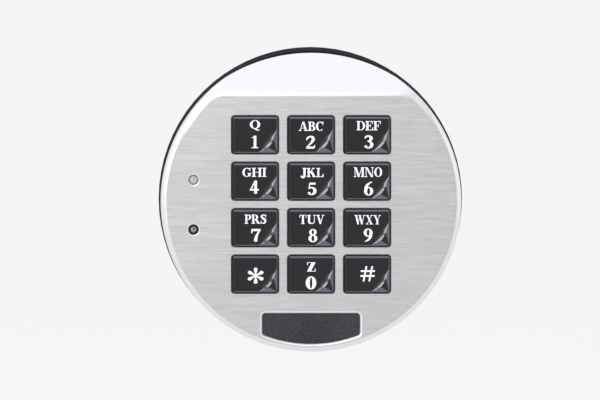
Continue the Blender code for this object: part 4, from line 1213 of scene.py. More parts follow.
@dataclass
class Keypad(SubAssembly):
    """Twelve dished key caps and their openings."""

    width: float = 0.0152
    height: float = 0.0122
    pitch: Point = (0.01905, 0.0158)
    drop: float = 0.00102
    corner: float = 0.0006
    flange: float = 0.0009
    flange_back: float = 0.0348
    flange_front: float = 0.0357
    top: float = 0.00215
    floor: float = 0.0016
    roof: Tuple[Tuple[float, float, float], ...] = (
        (0.0, 0.8, 0.0011),
        (-0.8, 0.0, 0.0011),
        (0.47, 0.0, 0.0015),
        (0.0, -0.36, 0.0015),
        (0.155, -0.077, 0.00152),
    )
    dish_middle: Point = (-0.0029, 0.0037)
    dish_ridge: float = 0.01042
    ridge_bulge: Tuple[float, float, float] = (0.00060, -44.0, 16.0)
    dish_slope: float = 0.345
    dish_turns: Tuple[Tuple[float, float, int], ...] = ((-125.0, 1.5, 130), (70.0, 5.5, 30))
    dish_levels: int = 24
    dish_beyond: Tuple[float, ...] = (0.0006, 0.002, 0.010)
    softness: float = 0.00012
    opening_chamfer: float = 0.00036
    names: Tuple[Tuple[str, ...], ...] = (
        ("key_1", "key_2", "key_3"),
        ("key_4", "key_5", "key_6"),
        ("key_7", "key_8", "key_9"),
        ("key_star", "key_0", "key_hash"),
    )

    def places(self) -> Iterator[Tuple[str, Point]]:
        """Each key's name and the centre of its opening."""
        for row, names in enumerate(self.names):
            for column, name in enumerate(names):
                yield name, ((column - 1) * self.pitch[0], (1.5 - row) * self.pitch[1] - self.drop)

    def openings(self) -> List[Object]:
        """Cutters for the twelve openings, with a small chamfer at the face."""
        tool = opening(self._frame, FACE_BACK - OVERRUN, self.opening_chamfer)
        return [self.bench.lay("opening", tool, (*place, 0)) for _, place in self.places()]

    def _frame(self, margin: float) -> Outline:
        """The key's outline with a margin."""
        return rounded_rectangle(self.width + 2 * margin, self.height + 2 * margin, self.corner + margin)

    def _edge(self, across: float, up: float) -> Point:
        """Where a sloped plane of the roof starts: the middle of a side, or the corner between two."""
        right = math.copysign(self.width / 2, across) if across else 0.0
        return right, math.copysign(self.height / 2, up) if up else 0.0

    def roof_height(self, x: float, y: float) -> float:
        """How high the lowest sloped plane is above a point of the cap.

        Args:
            x: the point, across.
            y: the point, up.

        Returns:
            The height above the face.
        """
        heights = [self.top]
        for across, up, height in self.roof:
            edge = self._edge(across, up)
            heights.append(height - across * (x - edge[0]) - up * (y - edge[1]))
        return min(heights)

    def ridge_reach(self, angle: float) -> float:
        """The ridge's distance from the dish's middle in one direction, furthest towards the corner."""
        bulge, towards, spread = self.ridge_bulge
        return self.dish_ridge + bulge * math.exp(-(((math.degrees(angle) - towards) / spread) ** 2))

    def dish_mesh(self) -> Mesh:
        """The cutter of the dish: a level floor that curves up to a ridge, with one slope all along it.

        Returns:
            The cutter's mesh, with heights counted from the face.
        """
        turns = self.dish_turns
        angles = [math.radians(start + step * n) for start, step, count in turns for n in range(count)]
        middle_x, middle_y = self.dish_middle
        reaches = [self.ridge_reach(angle) for angle in angles]
        rises = []
        for angle, far in zip(angles, reaches):
            roof = self.roof_height(middle_x + far * math.cos(angle), middle_y + far * math.sin(angle))
            rises.append(max(2 * HAIR, roof - self.floor))
        smooth = [sum(rises[(n + k) % len(rises)] for k in range(-3, 4)) / 7 for n in range(len(rises))]
        bm = bmesh.new()
        rings: Rings = []

        def ring(levels: Sequence[Tuple[float, float]]) -> None:
            """Adds a ring of points, each given as its distance from the middle and its height."""
            points = [(r * math.cos(angle), r * math.sin(angle), z) for angle, (r, z) in zip(angles, levels)]
            rings.append([bm.verts.new((middle_x + x, middle_y + y, z)) for x, y, z in points])

        runs = [2 * rise / self.dish_slope for rise in smooth]
        for level in range(self.dish_levels + 1):
            share = level / self.dish_levels
            bowl = zip(reaches, runs, smooth)
            ring([(far - run * (1 - share), self.floor + rise * share**2) for far, run, rise in bowl])
        for beyond in self.dish_beyond:
            climb = self.dish_slope * beyond
            ring([(far + beyond, self.floor + rise + climb) for far, rise in zip(reaches, smooth)])
        rings.append([bm.verts.new((vert.co.x, vert.co.y, 2 * self.width)) for vert in rings[-1]])
        return sculpted(bm, rings)

    def cap_mesh(self) -> Mesh:
        """One key cap about its axis of travel, with heights counted from the face.

        Returns:
            The cap's mesh.
        """
        sections = (
            (self._frame(self.flange), self.flange_back - FACE),
            (self._frame(self.flange), self.flange_front - FACE),
            (self._frame(0), self.flange_front - FACE),
            (self._frame(0), self.top),
        )
        cap = self.bench.lay("cap", lofted(sections))
        reach = self.width + self.height
        for across, up, height in self.roof:
            edge = self._edge(across, up)
            turn = Vector((across, up, 1)).to_track_quat("Z", "Y").to_euler()
            waste = block(-reach, reach, -reach, reach, 0, reach)
            above = self.bench.lay("above_roof", waste, (*edge, height), turn)
            self.bench.cut(cap, [above])
        self.bench.soften(cap, self.softness, segments=3, angle=12)
        self.bench.cut(cap, [self.bench.lay("dish", self.dish_mesh())])
        mesh = cap.data
        bpy.data.objects.remove(cap, do_unlink=True)
        return mesh

    def build(self) -> None:
        """Makes the twelve caps."""
        mesh = self.cap_mesh()
        for name, place in self.places():
            cap = self.bench.lay(f"{name}_cap", mesh.copy(), (*place, FACE))
            self.dress(cap, f"{name}_body", KEY_GLOSS, Slot.GLOSS_BLACK, [name])


Stroke = List[Outline]
Sign = Tuple[Stroke, float]


class Pen:
    """Draws the parts of bold serif letters and digits as small closed outlines, one unit high."""

    thick = 0.176
    thin = 0.06
    serif = 0.09

    def bar(self, left: float, low: float, right: float, high: float) -> Stroke:
        """A rectangle."""
        return [[(left, low), (right, low), (right, high), (left, high)]]

    def head(self, left: float, right: float) -> Stroke:
        """A thin level stroke at the top."""
        return self.bar(left, 1 - self.thin, right, 1)

    def base(self, left: float, right: float) -> Stroke:
        """A thin level stroke at the bottom."""
        return self.bar(left, 0, right, self.thin)

    def rung(self, left: float, right: float, low: float) -> Stroke:
        """A thin level stroke that starts at this height."""
        return self.bar(left, low, right, low + self.thin)

    def slant(self, foot: float, low: float, head: float, high: float, width: float) -> Stroke:
        """A leaning stroke with level ends."""
        half = width / 2
        return [[(foot - half, low), (foot + half, low), (head + half, high), (head - half, high)]]

    def foot(self, x: float, y: float, width: float, down: bool = True) -> Stroke:
        """A serif with small brackets.

        Args:
            x: its middle.
            y: the end of its stroke.
            width: its width.
            down: whether it stands at the lower end.

        Returns:
            The outlines.
        """
        rise = self.thin * 0.75 * (1 if down else -1)
        half = width / 2
        inner = 0.55 * half
        slab = [(x - half, y), (x + half, y), (x + half, y + rise), (x - half, y + rise)]
        bracket = [slab[3], slab[2], (x + inner, y + 2 * rise), (x - inner, y + 2 * rise)]
        return [slab, bracket]

    def stem(
        self, x: float, low: float = 0.0, high: float = 1.0, width: float = 0.0, feet: str = "both"
    ) -> Stroke:
        """An upright stroke with its serifs.

        Args:
            x: its middle.
            low: its lower end.
            high: its upper end.
            width: its width, or the pen's thick stroke.
            feet: both, low, high or none.

        Returns:
            The outlines.
        """
        wide = width or self.thick
        made = self.bar(x - wide / 2, low, x + wide / 2, high)
        if feet in ("both", "low"):
            made += self.foot(x, low, wide + 2 * self.serif)
        if feet in ("both", "high"):
            made += self.foot(x, high, wide + 2 * self.serif, down=False)
        return made

    def ball(self, x: float, y: float, radius: float) -> Stroke:
        """A round end."""
        return [arc((x, y), radius, 0, math.tau, 16)[:-1]]

    def ribbon(self, points: Sequence[Tuple[float, float, float]], smooth: int = 5) -> Stroke:
        """A stroke of changing width through points of (x, y, width), smoothed between them.

        Args:
            points: the way of the stroke.
            smooth: straight pieces between two points.

        Returns:
            The outlines.
        """
        path = []
        for n in range(len(points) - 1):
            four = (Vector(points[max(0, min(len(points) - 1, n + k))]) for k in (-1, 0, 1, 2))
            before, here, there, beyond = four
            slope = there - before
            bend = 2 * before - 5 * here + 4 * there - beyond
            twist = 3 * here - before - 3 * there + beyond
            for t in (step / smooth for step in range(smooth)):
                path.append(0.5 * (2 * here + slope * t + bend * t * t + twist * t**3))
        path.append(Vector(points[-1]))
        sides = []
        for n, spot in enumerate(path):
            way = path[min(n + 1, len(path) - 1)] - path[max(n - 1, 0)]
            across = Vector((-way.y, way.x)).normalized() * spot.z / 2
            sides.append(((spot.x + across.x, spot.y + across.y), (spot.x - across.x, spot.y - across.y)))
        return [[a[0], a[1], b[1], b[0]] for a, b in zip(sides, sides[1:])]

    def bowl(
        self, x: float, y: float, wide: float, high: float, start: float, end: float, thick: float = 0.0
    ) -> Stroke:
        """Part of an upright oval whose outer size is given, thick at its sides and thin above and below.

        Args:
            x: middle.
            y: middle.
            wide: half of its outer width.
            high: half of its outer height.
            start: first angle in degrees.
            end: last angle in degrees.
            thick: stroke at the sides.

        Returns:
            The outlines.
        """
        heavy, light = thick or self.thick * 1.05, self.thin
        count = max(4, int(abs(end - start) / 11))
        points = []
        for n in range(count + 1):
            angle = math.radians(start + (end - start) * n / count)
            inner_x, inner_y = wide - heavy, high - light
            outer = (x + wide * math.cos(angle), y + high * math.sin(angle))
            inner = (x + inner_x * math.cos(angle), y + inner_y * math.sin(angle))
            points.append((outer, inner))
        return [[a[0], b[0], b[1], a[1]] for a, b in zip(points, points[1:])]


class Glyphs(Pen):
    """The letters and digits on the keys, each as (strokes, width)."""

    def draw(self, sign: str) -> Sign:
        """The outlines and the width of one sign."""
        return getattr(self, {"*": "star", "#": "hash"}.get(sign, f"sign_{sign}"))()

    def sign_A(self) -> Sign:
        """A."""
        strokes = self.slant(0.13, 0, 0.38, 1, self.thin) + self.slant(0.66, 0, 0.41, 1, self.thick)
        strokes += self.rung(0.2, 0.6, 0.27)
        return strokes + self.foot(0.13, 0, 0.26) + self.foot(0.66, 0, 0.36), 0.84

    def sign_B(self) -> Sign:
        """B."""
        strokes = self.stem(0.17) + self.head(0.17, 0.38) + self.base(0.17, 0.38)
        strokes += self.rung(0.17, 0.38, 0.49)
        strokes += self.bowl(0.36, 0.765, 0.24, 0.235, -90, 90) + self.bowl(0.36, 0.28, 0.29, 0.28, -90, 90)
        return strokes, 0.68

    def sign_C(self) -> Sign:
        """C."""
        strokes = self.bowl(0.39, 0.5, 0.36, 0.5, 48, 315) + self.bar(0.63, 0.66, 0.69, 1.0)
        return strokes + self.slant(0.61, 0.80, 0.66, 0.95, 0.09), 0.72

    def sign_D(self) -> Sign:
        """D."""
        strokes = self.stem(0.17) + self.head(0.17, 0.36) + self.base(0.17, 0.36)
        return strokes + self.bowl(0.34, 0.5, 0.41, 0.5, -90, 90), 0.78

    def sign_E(self) -> Sign:
        """E."""
        strokes, _ = self.sign_F()
        strokes += self.base(0.17, 0.62)
        return strokes + [[(0.55, 0.05), (0.66, 0), (0.66, 0.32), (0.61, 0.32)]], 0.69

    def sign_F(self) -> Sign:
        """F."""
        strokes = self.stem(0.17) + self.head(0.17, 0.6) + self.rung(0.17, 0.44, 0.47)
        strokes += [[(0.53, 0.95), (0.63, 1), (0.63, 0.69), (0.58, 0.69)]] + self.bar(0.40, 0.33, 0.45, 0.69)
        return strokes, 0.66

    def sign_G(self) -> Sign:
        """G."""
        strokes, _ = self.sign_C()
        return strokes + self.stem(0.62, 0.06, 0.42, self.thick, "high"), 0.82

    def sign_H(self) -> Sign:
        """H."""
        return self.stem(0.18) + self.stem(0.68) + self.rung(0.18, 0.68, 0.47), 0.86

    def sign_I(self) -> Sign:
        """I."""
        return self.stem(0.2), 0.40

    def sign_J(self) -> Sign:
        """J."""
        way = (
            (0.38, 0.3, 0.2), (0.37, 0.08, 0.19), (0.29, -0.06, 0.13), (0.17, -0.08, 0.08), (0.11, 0.0, 0.08),
        )
        strokes = self.stem(0.38, 0.28, 1.0, 0.2, "high") + self.ribbon(way)
        return strokes + self.ball(0.13, 0.05, 0.1), 0.58

    def sign_K(self) -> Sign:
        """K."""
        strokes = self.stem(0.18) + self.slant(0.24, 0.40, 0.62, 1, 0.10)
        strokes += self.slant(0.70, 0, 0.42, 0.62, 0.23)
        return strokes + self.foot(0.62, 1, 0.28, down=False) + self.foot(0.70, 0, 0.34), 0.88

    def sign_L(self) -> Sign:
        """L."""
        strokes = self.stem(0.18) + self.base(0.18, 0.62)
        return strokes + [[(0.52, 0.05), (0.65, 0), (0.65, 0.36), (0.60, 0.36)]], 0.68

    def sign_M(self) -> Sign:
        """M."""
        strokes = self.stem(0.14, width=self.thin) + self.stem(0.86)
        strokes += self.slant(0.49, 0, 0.20, 1, self.thick) + self.slant(0.47, 0, 0.80, 1, self.thin)
        return strokes, 1.04

    def sign_N(self) -> Sign:
        """N."""
        strokes = self.stem(0.14, width=self.thin) + self.stem(0.74, width=self.thin, feet="high")
        return strokes + self.slant(0.69, 0, 0.17, 1, self.thick), 0.88

    def sign_O(self) -> Sign:
        """O."""
        return self.bowl(0.40, 0.5, 0.37, 0.5, 0, 360), 0.80

    def sign_P(self) -> Sign:
        """P."""
        strokes = self.stem(0.17) + self.head(0.17, 0.36) + self.rung(0.17, 0.36, 0.44)
        return strokes + self.bowl(0.35, 0.72, 0.29, 0.28, -90, 90), 0.67

    def sign_Q(self) -> Sign:
        """Q."""
        tail = ((0.34, 0.06, 0.08), (0.46, -0.04, 0.13), (0.58, -0.14, 0.12), (0.74, -0.13, 0.05))
        return self.sign_O()[0] + self.ribbon(tail), 0.80

    def sign_R(self) -> Sign:
        """R."""
        strokes, _ = self.sign_P()
        return strokes + self.slant(0.69, 0, 0.42, 0.5, 0.23) + self.foot(0.70, 0, 0.30), 0.85

    def sign_S(self) -> Sign:
        """S."""
        spine = (
            (0.53, 0.78, 0.06), (0.46, 0.92, 0.08), (0.31, 0.955, 0.10), (0.16, 0.87, 0.17),
            (0.15, 0.72, 0.20), (0.30, 0.56, 0.23), (0.46, 0.42, 0.23), (0.48, 0.24, 0.20),
            (0.40, 0.09, 0.15), (0.26, 0.045, 0.10), (0.13, 0.09, 0.07), (0.07, 0.24, 0.05),
        )
        return self.ribbon(spine) + self.bar(0.51, 0.69, 0.56, 1) + self.bar(0.04, 0, 0.09, 0.34), 0.64

    def sign_T(self) -> Sign:
        """T."""
        strokes = self.stem(0.37, feet="low") + self.head(0.05, 0.69)
        return strokes + self.bar(0.05, 0.68, 0.10, 1) + self.bar(0.64, 0.68, 0.69, 1), 0.74

    def sign_U(self) -> Sign:
        """U."""
        strokes = self.stem(0.20, 0.3, 1, feet="high") + self.stem(0.70, 0.3, 1, self.thin, "high")
        turn = (
            (0.20, 0.34, 0.2), (0.24, 0.14, 0.18), (0.44, 0.05, 0.10), (0.63, 0.12, 0.09), (0.70, 0.34, 0.08),
        )
        return strokes + self.ribbon(turn), 0.86

    def sign_V(self) -> Sign:
        """V."""
        strokes = self.slant(0.41, 0, 0.16, 1, self.thick) + self.slant(0.40, 0, 0.65, 1, self.thin)
        return strokes + self.foot(0.17, 1, 0.36, down=False) + self.foot(0.65, 1, 0.24, down=False), 0.80

    def sign_W(self) -> Sign:
        """W."""
        strokes = self.slant(0.35, 0, 0.14, 1, self.thick) + self.slant(0.33, 0, 0.52, 0.85, self.thin)
        strokes += self.slant(0.74, 0, 0.52, 1, self.thick) + self.slant(0.73, 0, 0.96, 1, self.thin)
        strokes += self.foot(0.15, 1, 0.34, down=False) + self.foot(0.54, 1, 0.30, down=False)
        return strokes + self.foot(0.96, 1, 0.22, down=False), 1.10

    def sign_X(self) -> Sign:
        """X."""
        strokes = self.slant(0.62, 0, 0.18, 1, self.thick) + self.slant(0.16, 0, 0.62, 1, self.thin)
        strokes += self.foot(0.18, 1, 0.34, down=False) + self.foot(0.62, 1, 0.25, down=False)
        return strokes + self.foot(0.16, 0, 0.25) + self.foot(0.62, 0, 0.34), 0.80

    def sign_Y(self) -> Sign:
        """Y."""
        strokes = self.slant(0.40, 0.42, 0.16, 1, self.thick) + self.slant(0.42, 0.46, 0.66, 1, self.thin)
        strokes += self.stem(0.41, 0, 0.5, feet="low")
        return strokes + self.foot(0.17, 1, 0.34, down=False) + self.foot(0.66, 1, 0.24, down=False), 0.80

    def sign_Z(self) -> Sign:
        """Z."""
        strokes = self.slant(0.19, 0, 0.51, 1, 0.24) + self.head(0.08, 0.60)
        strokes += self.base(0.08, 0.62) + self.bar(0.08, 0.70, 0.13, 1)
        return strokes + self.bar(0.58, 0, 0.63, 0.32), 0.70

    def sign_0(self) -> Sign:
        """0."""
        return self.bowl(0.38, 0.5, 0.36, 0.5, 0, 360, 0.27), 0.76

    def sign_1(self) -> Sign:
        """1."""
        strokes = self.bar(0.17, 0, 0.36, 1) + self.foot(0.265, 0, 0.50)
        return strokes + [[(0.03, 0.80), (0.18, 0.86), (0.34, 1), (0.28, 1), (0.03, 0.85)]], 0.53

    def sign_2(self) -> Sign:
        """2."""
        way = (
            (0.08, 0.66, 0.06), (0.13, 0.83, 0.12), (0.29, 0.945, 0.11), (0.45, 0.88, 0.18),
            (0.49, 0.72, 0.20), (0.41, 0.52, 0.15), (0.27, 0.33, 0.11), (0.12, 0.14, 0.10),
        )
        strokes = self.ribbon(way) + self.bar(0.05, 0, 0.56, 0.15)
        return strokes + [[(0.50, 0.0), (0.57, 0.02), (0.62, 0.28), (0.57, 0.28), (0.50, 0.14)]], 0.64

    def sign_3(self) -> Sign:
        """3."""
        top = (
            (0.08, 0.76, 0.05), (0.14, 0.89, 0.11), (0.28, 0.95, 0.10), (0.42, 0.87, 0.17),
            (0.45, 0.74, 0.19), (0.37, 0.60, 0.12), (0.24, 0.55, 0.07),
        )
        low = (
            (0.24, 0.545, 0.07), (0.40, 0.50, 0.12), (0.49, 0.31, 0.20), (0.42, 0.12, 0.17),
            (0.27, 0.045, 0.09), (0.13, 0.09, 0.08),
        )
        return self.ribbon(top) + self.ribbon(low) + self.ball(0.13, 0.16, 0.09), 0.62

    def sign_4(self) -> Sign:
        """4."""
        strokes = self.bar(0.36, 0, 0.55, 1) + self.slant(0.09, 0.26, 0.42, 1, 0.09)
        return strokes + self.bar(0.04, 0.24, 0.68, 0.36), 0.70

    def sign_5(self) -> Sign:
        """5."""
        strokes = self.bar(0.15, 0.85, 0.54, 1) + self.slant(0.12, 0.48, 0.18, 1, 0.07)
        low = (
            (0.12, 0.52, 0.06), (0.27, 0.60, 0.10), (0.44, 0.52, 0.17), (0.50, 0.33, 0.20),
            (0.42, 0.12, 0.17), (0.26, 0.045, 0.09), (0.12, 0.09, 0.08),
        )
        return strokes + self.ribbon(low) + self.ball(0.13, 0.16, 0.09), 0.62

    def sign_6(self) -> Sign:
        """6."""
        back = ((0.55, 0.97, 0.05), (0.34, 0.86, 0.12), (0.18, 0.62, 0.18), (0.145, 0.32, 0.20))
        return self.ribbon(back) + self.bowl(0.33, 0.305, 0.29, 0.305, 0, 360, 0.19), 0.66

    def sign_7(self) -> Sign:
        """7."""
        leg = ((0.57, 0.93, 0.07), (0.42, 0.60, 0.12), (0.33, 0.30, 0.17), (0.31, 0.0, 0.20))
        strokes = self.bar(0.06, 0.83, 0.60, 1) + self.ribbon(leg)
        return strokes + [[(0.05, 0.66), (0.10, 0.66), (0.17, 0.86), (0.06, 1.0)]], 0.64

    def sign_8(self) -> Sign:
        """8."""
        upper = self.bowl(0.33, 0.76, 0.25, 0.24, 0, 360, 0.17)
        return upper + self.bowl(0.33, 0.285, 0.30, 0.285, 0, 360, 0.20), 0.66

    def sign_9(self) -> Sign:
        """9."""
        strokes, width = self.sign_6()
        return [[(width - x, 1 - y) for x, y in outline] for outline in strokes], width

    def star(self) -> Sign:
        """Six lobes that widen outwards."""
        strokes: Stroke = []
        for turn in range(6):
            angle = math.radians(90 + 60 * turn)
            way = Vector((math.cos(angle), math.sin(angle)))
            widths = ((0, 0.08), (0.15, 0.09), (0.28, 0.165), (0.38, 0.21))
            spine = [(0.5 + way.x * far, 0.5 + way.y * far, wide) for far, wide in widths]
            strokes += self.ribbon(spine) + self.ball(0.5 + way.x * 0.39, 0.5 + way.y * 0.39, 0.105)
        return strokes, 1.0

    def hash(self) -> Sign:
        """Two leaning uprights and two bars."""
        strokes = self.slant(0.20, 0, 0.40, 1, 0.115) + self.slant(0.58, 0, 0.78, 1, 0.115)
        return strokes + self.bar(0.02, 0.62, 0.96, 0.735) + self.bar(0.0, 0.30, 0.94, 0.415), 0.96


def filled(outlines: Stroke, low: float, high: float) -> Mesh:
    """A thin raised plate over the union of many outlines.

    Args:
        outlines: closed outlines, which may overlap.
        low: height of the underside.
        high: height of the top.

    Returns:
        The plate's mesh.
    """
    spots: List[Vector] = []
    rings: List[List[int]] = []
    for outline in outlines:
        area = sum(a[0] * b[1] - b[0] * a[1] for a, b in zip(outline, outline[1:] + outline[:1]))
        if abs(area) < 1e-14:
            continue
        ordered = outline if area > 0 else outline[::-1]
        rings.append(list(range(len(spots), len(spots) + len(ordered))))
        spots += [Vector(point) for point in ordered]
    verts, _, faces, _, _, origins = delaunay_2d_cdt(spots, [], rings, 1, 1e-8)
    bm = bmesh.new()
    top = [bm.verts.new((v.x, v.y, high)) for v in verts]
    bottom = [bm.verts.new((v.x, v.y, low)) for v in verts]
    for corners, origin in zip(faces, origins):
        if origin:
            bm.faces.new([top[n] for n in corners])
            bm.faces.new([bottom[n] for n in reversed(corners)])
    rim = [edge for edge in bm.edges if len(edge.link_faces) == 1]
    index = {vert: n for n, vert in enumerate(top)}
    for edge in rim:
        if edge.verts[0] in index:
            a, b = index[edge.verts[0]], index[edge.verts[1]]
            bm.faces.new((top[a], top[b], bottom[b], bottom[a]))
    bmesh.ops.delete(bm, geom=[v for v in bm.verts if not v.link_faces], context="VERTS")
    return mesh_from(bm)


@dataclass(frozen=True)
class Line:
    """One line of print on a key: its text and the box that it fills, from the key's centre."""

    text: str
    left: float
    right: float
    base: float
    top: float


@dataclass
class Legends(SubAssembly):
    """The print on the keys, laid on their dished floors."""

    thickness: float = 0.00005
    sunk: float = 0.00001
    pixel: float = 0.0003402
    glyphs: Glyphs = field(default_factory=Glyphs)
    lines: Dict[str, Tuple[Line, ...]] = field(default_factory=dict)

    def __post_init__(self) -> None:
        """Sets the text of each key, with its box as left, right, base and top in the photograph's pixels."""
        rows = (
            ("key_1", "Q", (-5.2, 5.1, 6.0, 14.7), "1", (-3.4, 3.4, -13.3, -0.9)),
            ("key_2", "ABC", (-12.4, 12.4, 4.0, 13.1), "2", (-4.7, 4.2, -13.7, -1.0)),
            ("key_3", "DEF", (-10.7, 13.6, 4.5, 13.7), "3", (-2.8, 6.3, -13.7, -0.5)),
            ("key_4", "GHI", (-12.6, 11.4, 4.5, 13.5), "4", (-5.3, 3.8, -12.4, 0.7)),
            ("key_5", "JKL", (-10.4, 12.4, 4.3, 13.3), "5", (-3.3, 5.4, -13.7, -1.4)),
            ("key_6", "MNO", (-13.3, 15.0, 4.3, 14.0), "6", (-3.1, 6.1, -14.2, -0.3)),
            ("key_7", "PRS", (-10.5, 11.3, 4.1, 13.2), "7", (-3.8, 5.5, -13.8, -1.2)),
            ("key_8", "TUV", (-11.6, 13.3, 3.8, 12.8), "8", (-2.6, 6.2, -14.5, -1.2)),
            ("key_9", "WXY", (-12.6, 13.8, 3.4, 12.6), "9", (-3.4, 5.4, -14.2, -0.8)),
            ("key_star", "*", (-7.2, 8.4, -9.6, 6.7), "", ()),
            ("key_0", "Z", (-4.1, 4.5, 2.7, 11.9), "0", (-5.3, 5.2, -15.3, -2.1)),
            ("key_hash", "#", (-6.6, 7.8, -7.2, 8.0), "", ()),
        )
        for name, word, word_box, number, number_box in rows:
            pairs = [(text, box) for text, box in ((word, word_box), (number, number_box)) if text]
            self.lines[name] = tuple(Line(text, *(edge * self.pixel for edge in box)) for text, box in pairs)

    def placed(self, line: Line) -> Stroke:
        """The outlines of one line, fitted to its box.

        Args:
            line: the line.

        Returns:
            Its outlines in metres, from the key's centre.
        """
        strokes: Stroke = []
        pen = 0.0
        for sign in line.text:
            parts, width = self.glyphs.draw(sign)
            strokes += [[(x + pen, y) for x, y in outline] for outline in parts]
            pen += width
        xs = [x for outline in strokes for x, _ in outline]
        start, stretch = min(xs), (line.right - line.left) / span(xs)
        rise = line.top - line.base
        return [
            [(line.left + (x - start) * stretch, line.base + y * rise) for x, y in outline]
            for outline in strokes
        ]

    def build(self, keypad: Keypad) -> None:
        """Prints each key.

        Args:
            keypad: the keys that carry the print.
        """
        low = FACE + keypad.floor - self.sunk
        for name, place in keypad.places():
            strokes = [outline for line in self.lines[name] for outline in self.placed(line)]
            mesh = filled(strokes, low, low + self.sunk + self.thickness)
            piece = self.bench.lay(f"{name}_legend", mesh, (*place, 0))
            self.dress(piece, f"{name}_body", LEGEND_INK, Slot.GLOSS_BLACK)


@dataclass
class Badge(SubAssembly):
    """The bare textured badge at the bottom of the face."""

    width: float = 0.0332
    height: float = 0.01035
    thickness: float = 0.0010
    sunk: float = 0.0001
    arc_radius: float = 0.0450
    rim_margin: float = 0.0027
    corner: float = 0.0011
    softness: float = 0.00012
    groove: float = 0.0002
    step: float = 0.6
    edge: float = 0.0005

    def outline(self, margin: float = 0.0) -> Outline:
        """Straight top and sides, and a bottom that follows a wide arc.

        Args:
            margin: by how much it is larger all round.

        Returns:
            The closed outline's points.
        """
        half = self.width / 2 + margin
        radius = self.arc_radius + margin
        corner = self.corner + margin
        bottom = self.rim_margin - FACE_RADIUS
        centre = (0, bottom + self.arc_radius)
        top = bottom + self.height + margin
        tilt = math.asin((half - corner) / (radius - corner))
        low = centre[1] - (radius - corner) * math.cos(tilt)
        down = -math.pi / 2
        outline = arc((half - corner, top - corner), corner, 0, math.pi / 2, 6)
        outline += arc((corner - half, top - corner), corner, math.pi / 2, math.pi, 6)
        outline += arc((corner - half, low), corner, math.pi, 2 * math.pi + down - tilt, 6)
        outline += arc(centre, radius, down - tilt, down + tilt, 24)[1:-1]
        return outline + arc((half - corner, low), corner, down + tilt, 0, 6)

    def recess(self) -> Object:
        """The cutter for the recess in the bezel, with a small chamfer."""
        floor = FACE - self.sunk - self.thickness - GAP
        return self.bench.lay("recess", opening(self.outline, floor, self.edge))

    def build(self) -> None:
        """Makes the badge, with a step along its edge and a soft rim round its front."""
        front = FACE - self.sunk
        flange = front - self.step * self.thickness
        sections = (
            (self.outline(), front - self.thickness),
            (self.outline(), flange),
            (self.outline(-self.groove), flange),
            (self.outline(-self.groove), front - self.softness),
            (self.outline(-self.groove - 0.4 * self.softness), front - 0.3 * self.softness),
            (self.outline(-self.groove - self.softness), front),
        )
        plate = self.bench.lay("badge_plate", lofted(sections))
        self.dress(plate, LOCK_BODY, BADGE_BLACK, Slot.MATTE_BLACK, ["nameplate"])


@dataclass
class Indicators(SubAssembly):
    """The two small lights at the left of the keys."""

    places: Tuple[Point, ...] = field(default_factory=lambda: middles(("led_upper", "led_lower")))
    back: float = 0.0311
    flange: float = 0.0010
    flange_radius: float = 0.0019
    sunk: float = 0.0003
    lens: Tuple[float, ...] = (0.00138, 0.00120)
    step: float = 0.00172
    step_depth: float = 0.00035
    flatness: float = 0.5
    collar_radius: float = 0.00177
    collar_depth: float = 0.0011
    collar_edge: float = 0.0001
    die_radius: float = 0.00042
    die_rise: float = 0.0002
    die_depths: Tuple[float, float] = (0.00014, 0.0003)

    def build(self) -> None:
        """Makes each light, and the dark collar round the lower one."""
        top = FACE - self.sunk
        names = ("upper", "lower")
        kinds = ((CLEAR_LENS, Slot.CLEAR_LENS), (DARK_LENS, Slot.DARK_LENS))
        for place, radius, name, (finish, slot) in zip(self.places, self.lens, names, kinds):
            drop = self.flatness * radius
            angles = [math.radians(15 * n) for n in range(7)]
            profile = [(radius * math.sin(angle), top - drop * (1 - math.cos(angle))) for angle in angles]
            profile += [
                (radius, top - self.step_depth - drop),
                (self.step, top - self.step_depth - drop),
                (self.step, self.back + self.flange),
                (self.flange_radius, self.back + self.flange),
                (self.flange_radius, self.back),
                (0, self.back),
            ]
            light = self.bench.lay(f"light_{name}", turned(profile, 48), (*place, 0))
            self.dress(light, LOCK_BODY, finish, slot, [f"led_{name}"])
        inner, outer, edge = self.lens[1] + 2 * HAIR, self.collar_radius, self.collar_edge
        collar = [
            (inner, FACE - self.collar_depth),
            (inner, FACE - edge),
            (inner + edge, FACE),
            (outer - edge, FACE),
            (outer, FACE - edge),
            (outer, FACE - self.collar_depth),
        ]
        mesh = turned(collar, 48, closed=True)
        ring = self.bench.lay("light_collar", mesh, (*self.places[1], 0))
        self.dress(ring, LOCK_BODY, COLLAR_BLACK, Slot.BLACK_PLASTIC)
        wide, (rim, root) = self.die_radius, self.die_depths
        spot = [(0, top + 2 * HAIR), (0.7 * wide, top), (wide, top - rim), (0, top - root)]
        for place, name, finish in zip(self.places, names, (DIE_GREY, COLLAR_BLACK)):
            mesh = turned(spot, 24)
            die = self.bench.lay(f"light_die_{name}", mesh, (place[0], place[1] + self.die_rise, 0))
            self.dress(die, LOCK_BODY, finish, Slot.BLACK_PLASTIC)


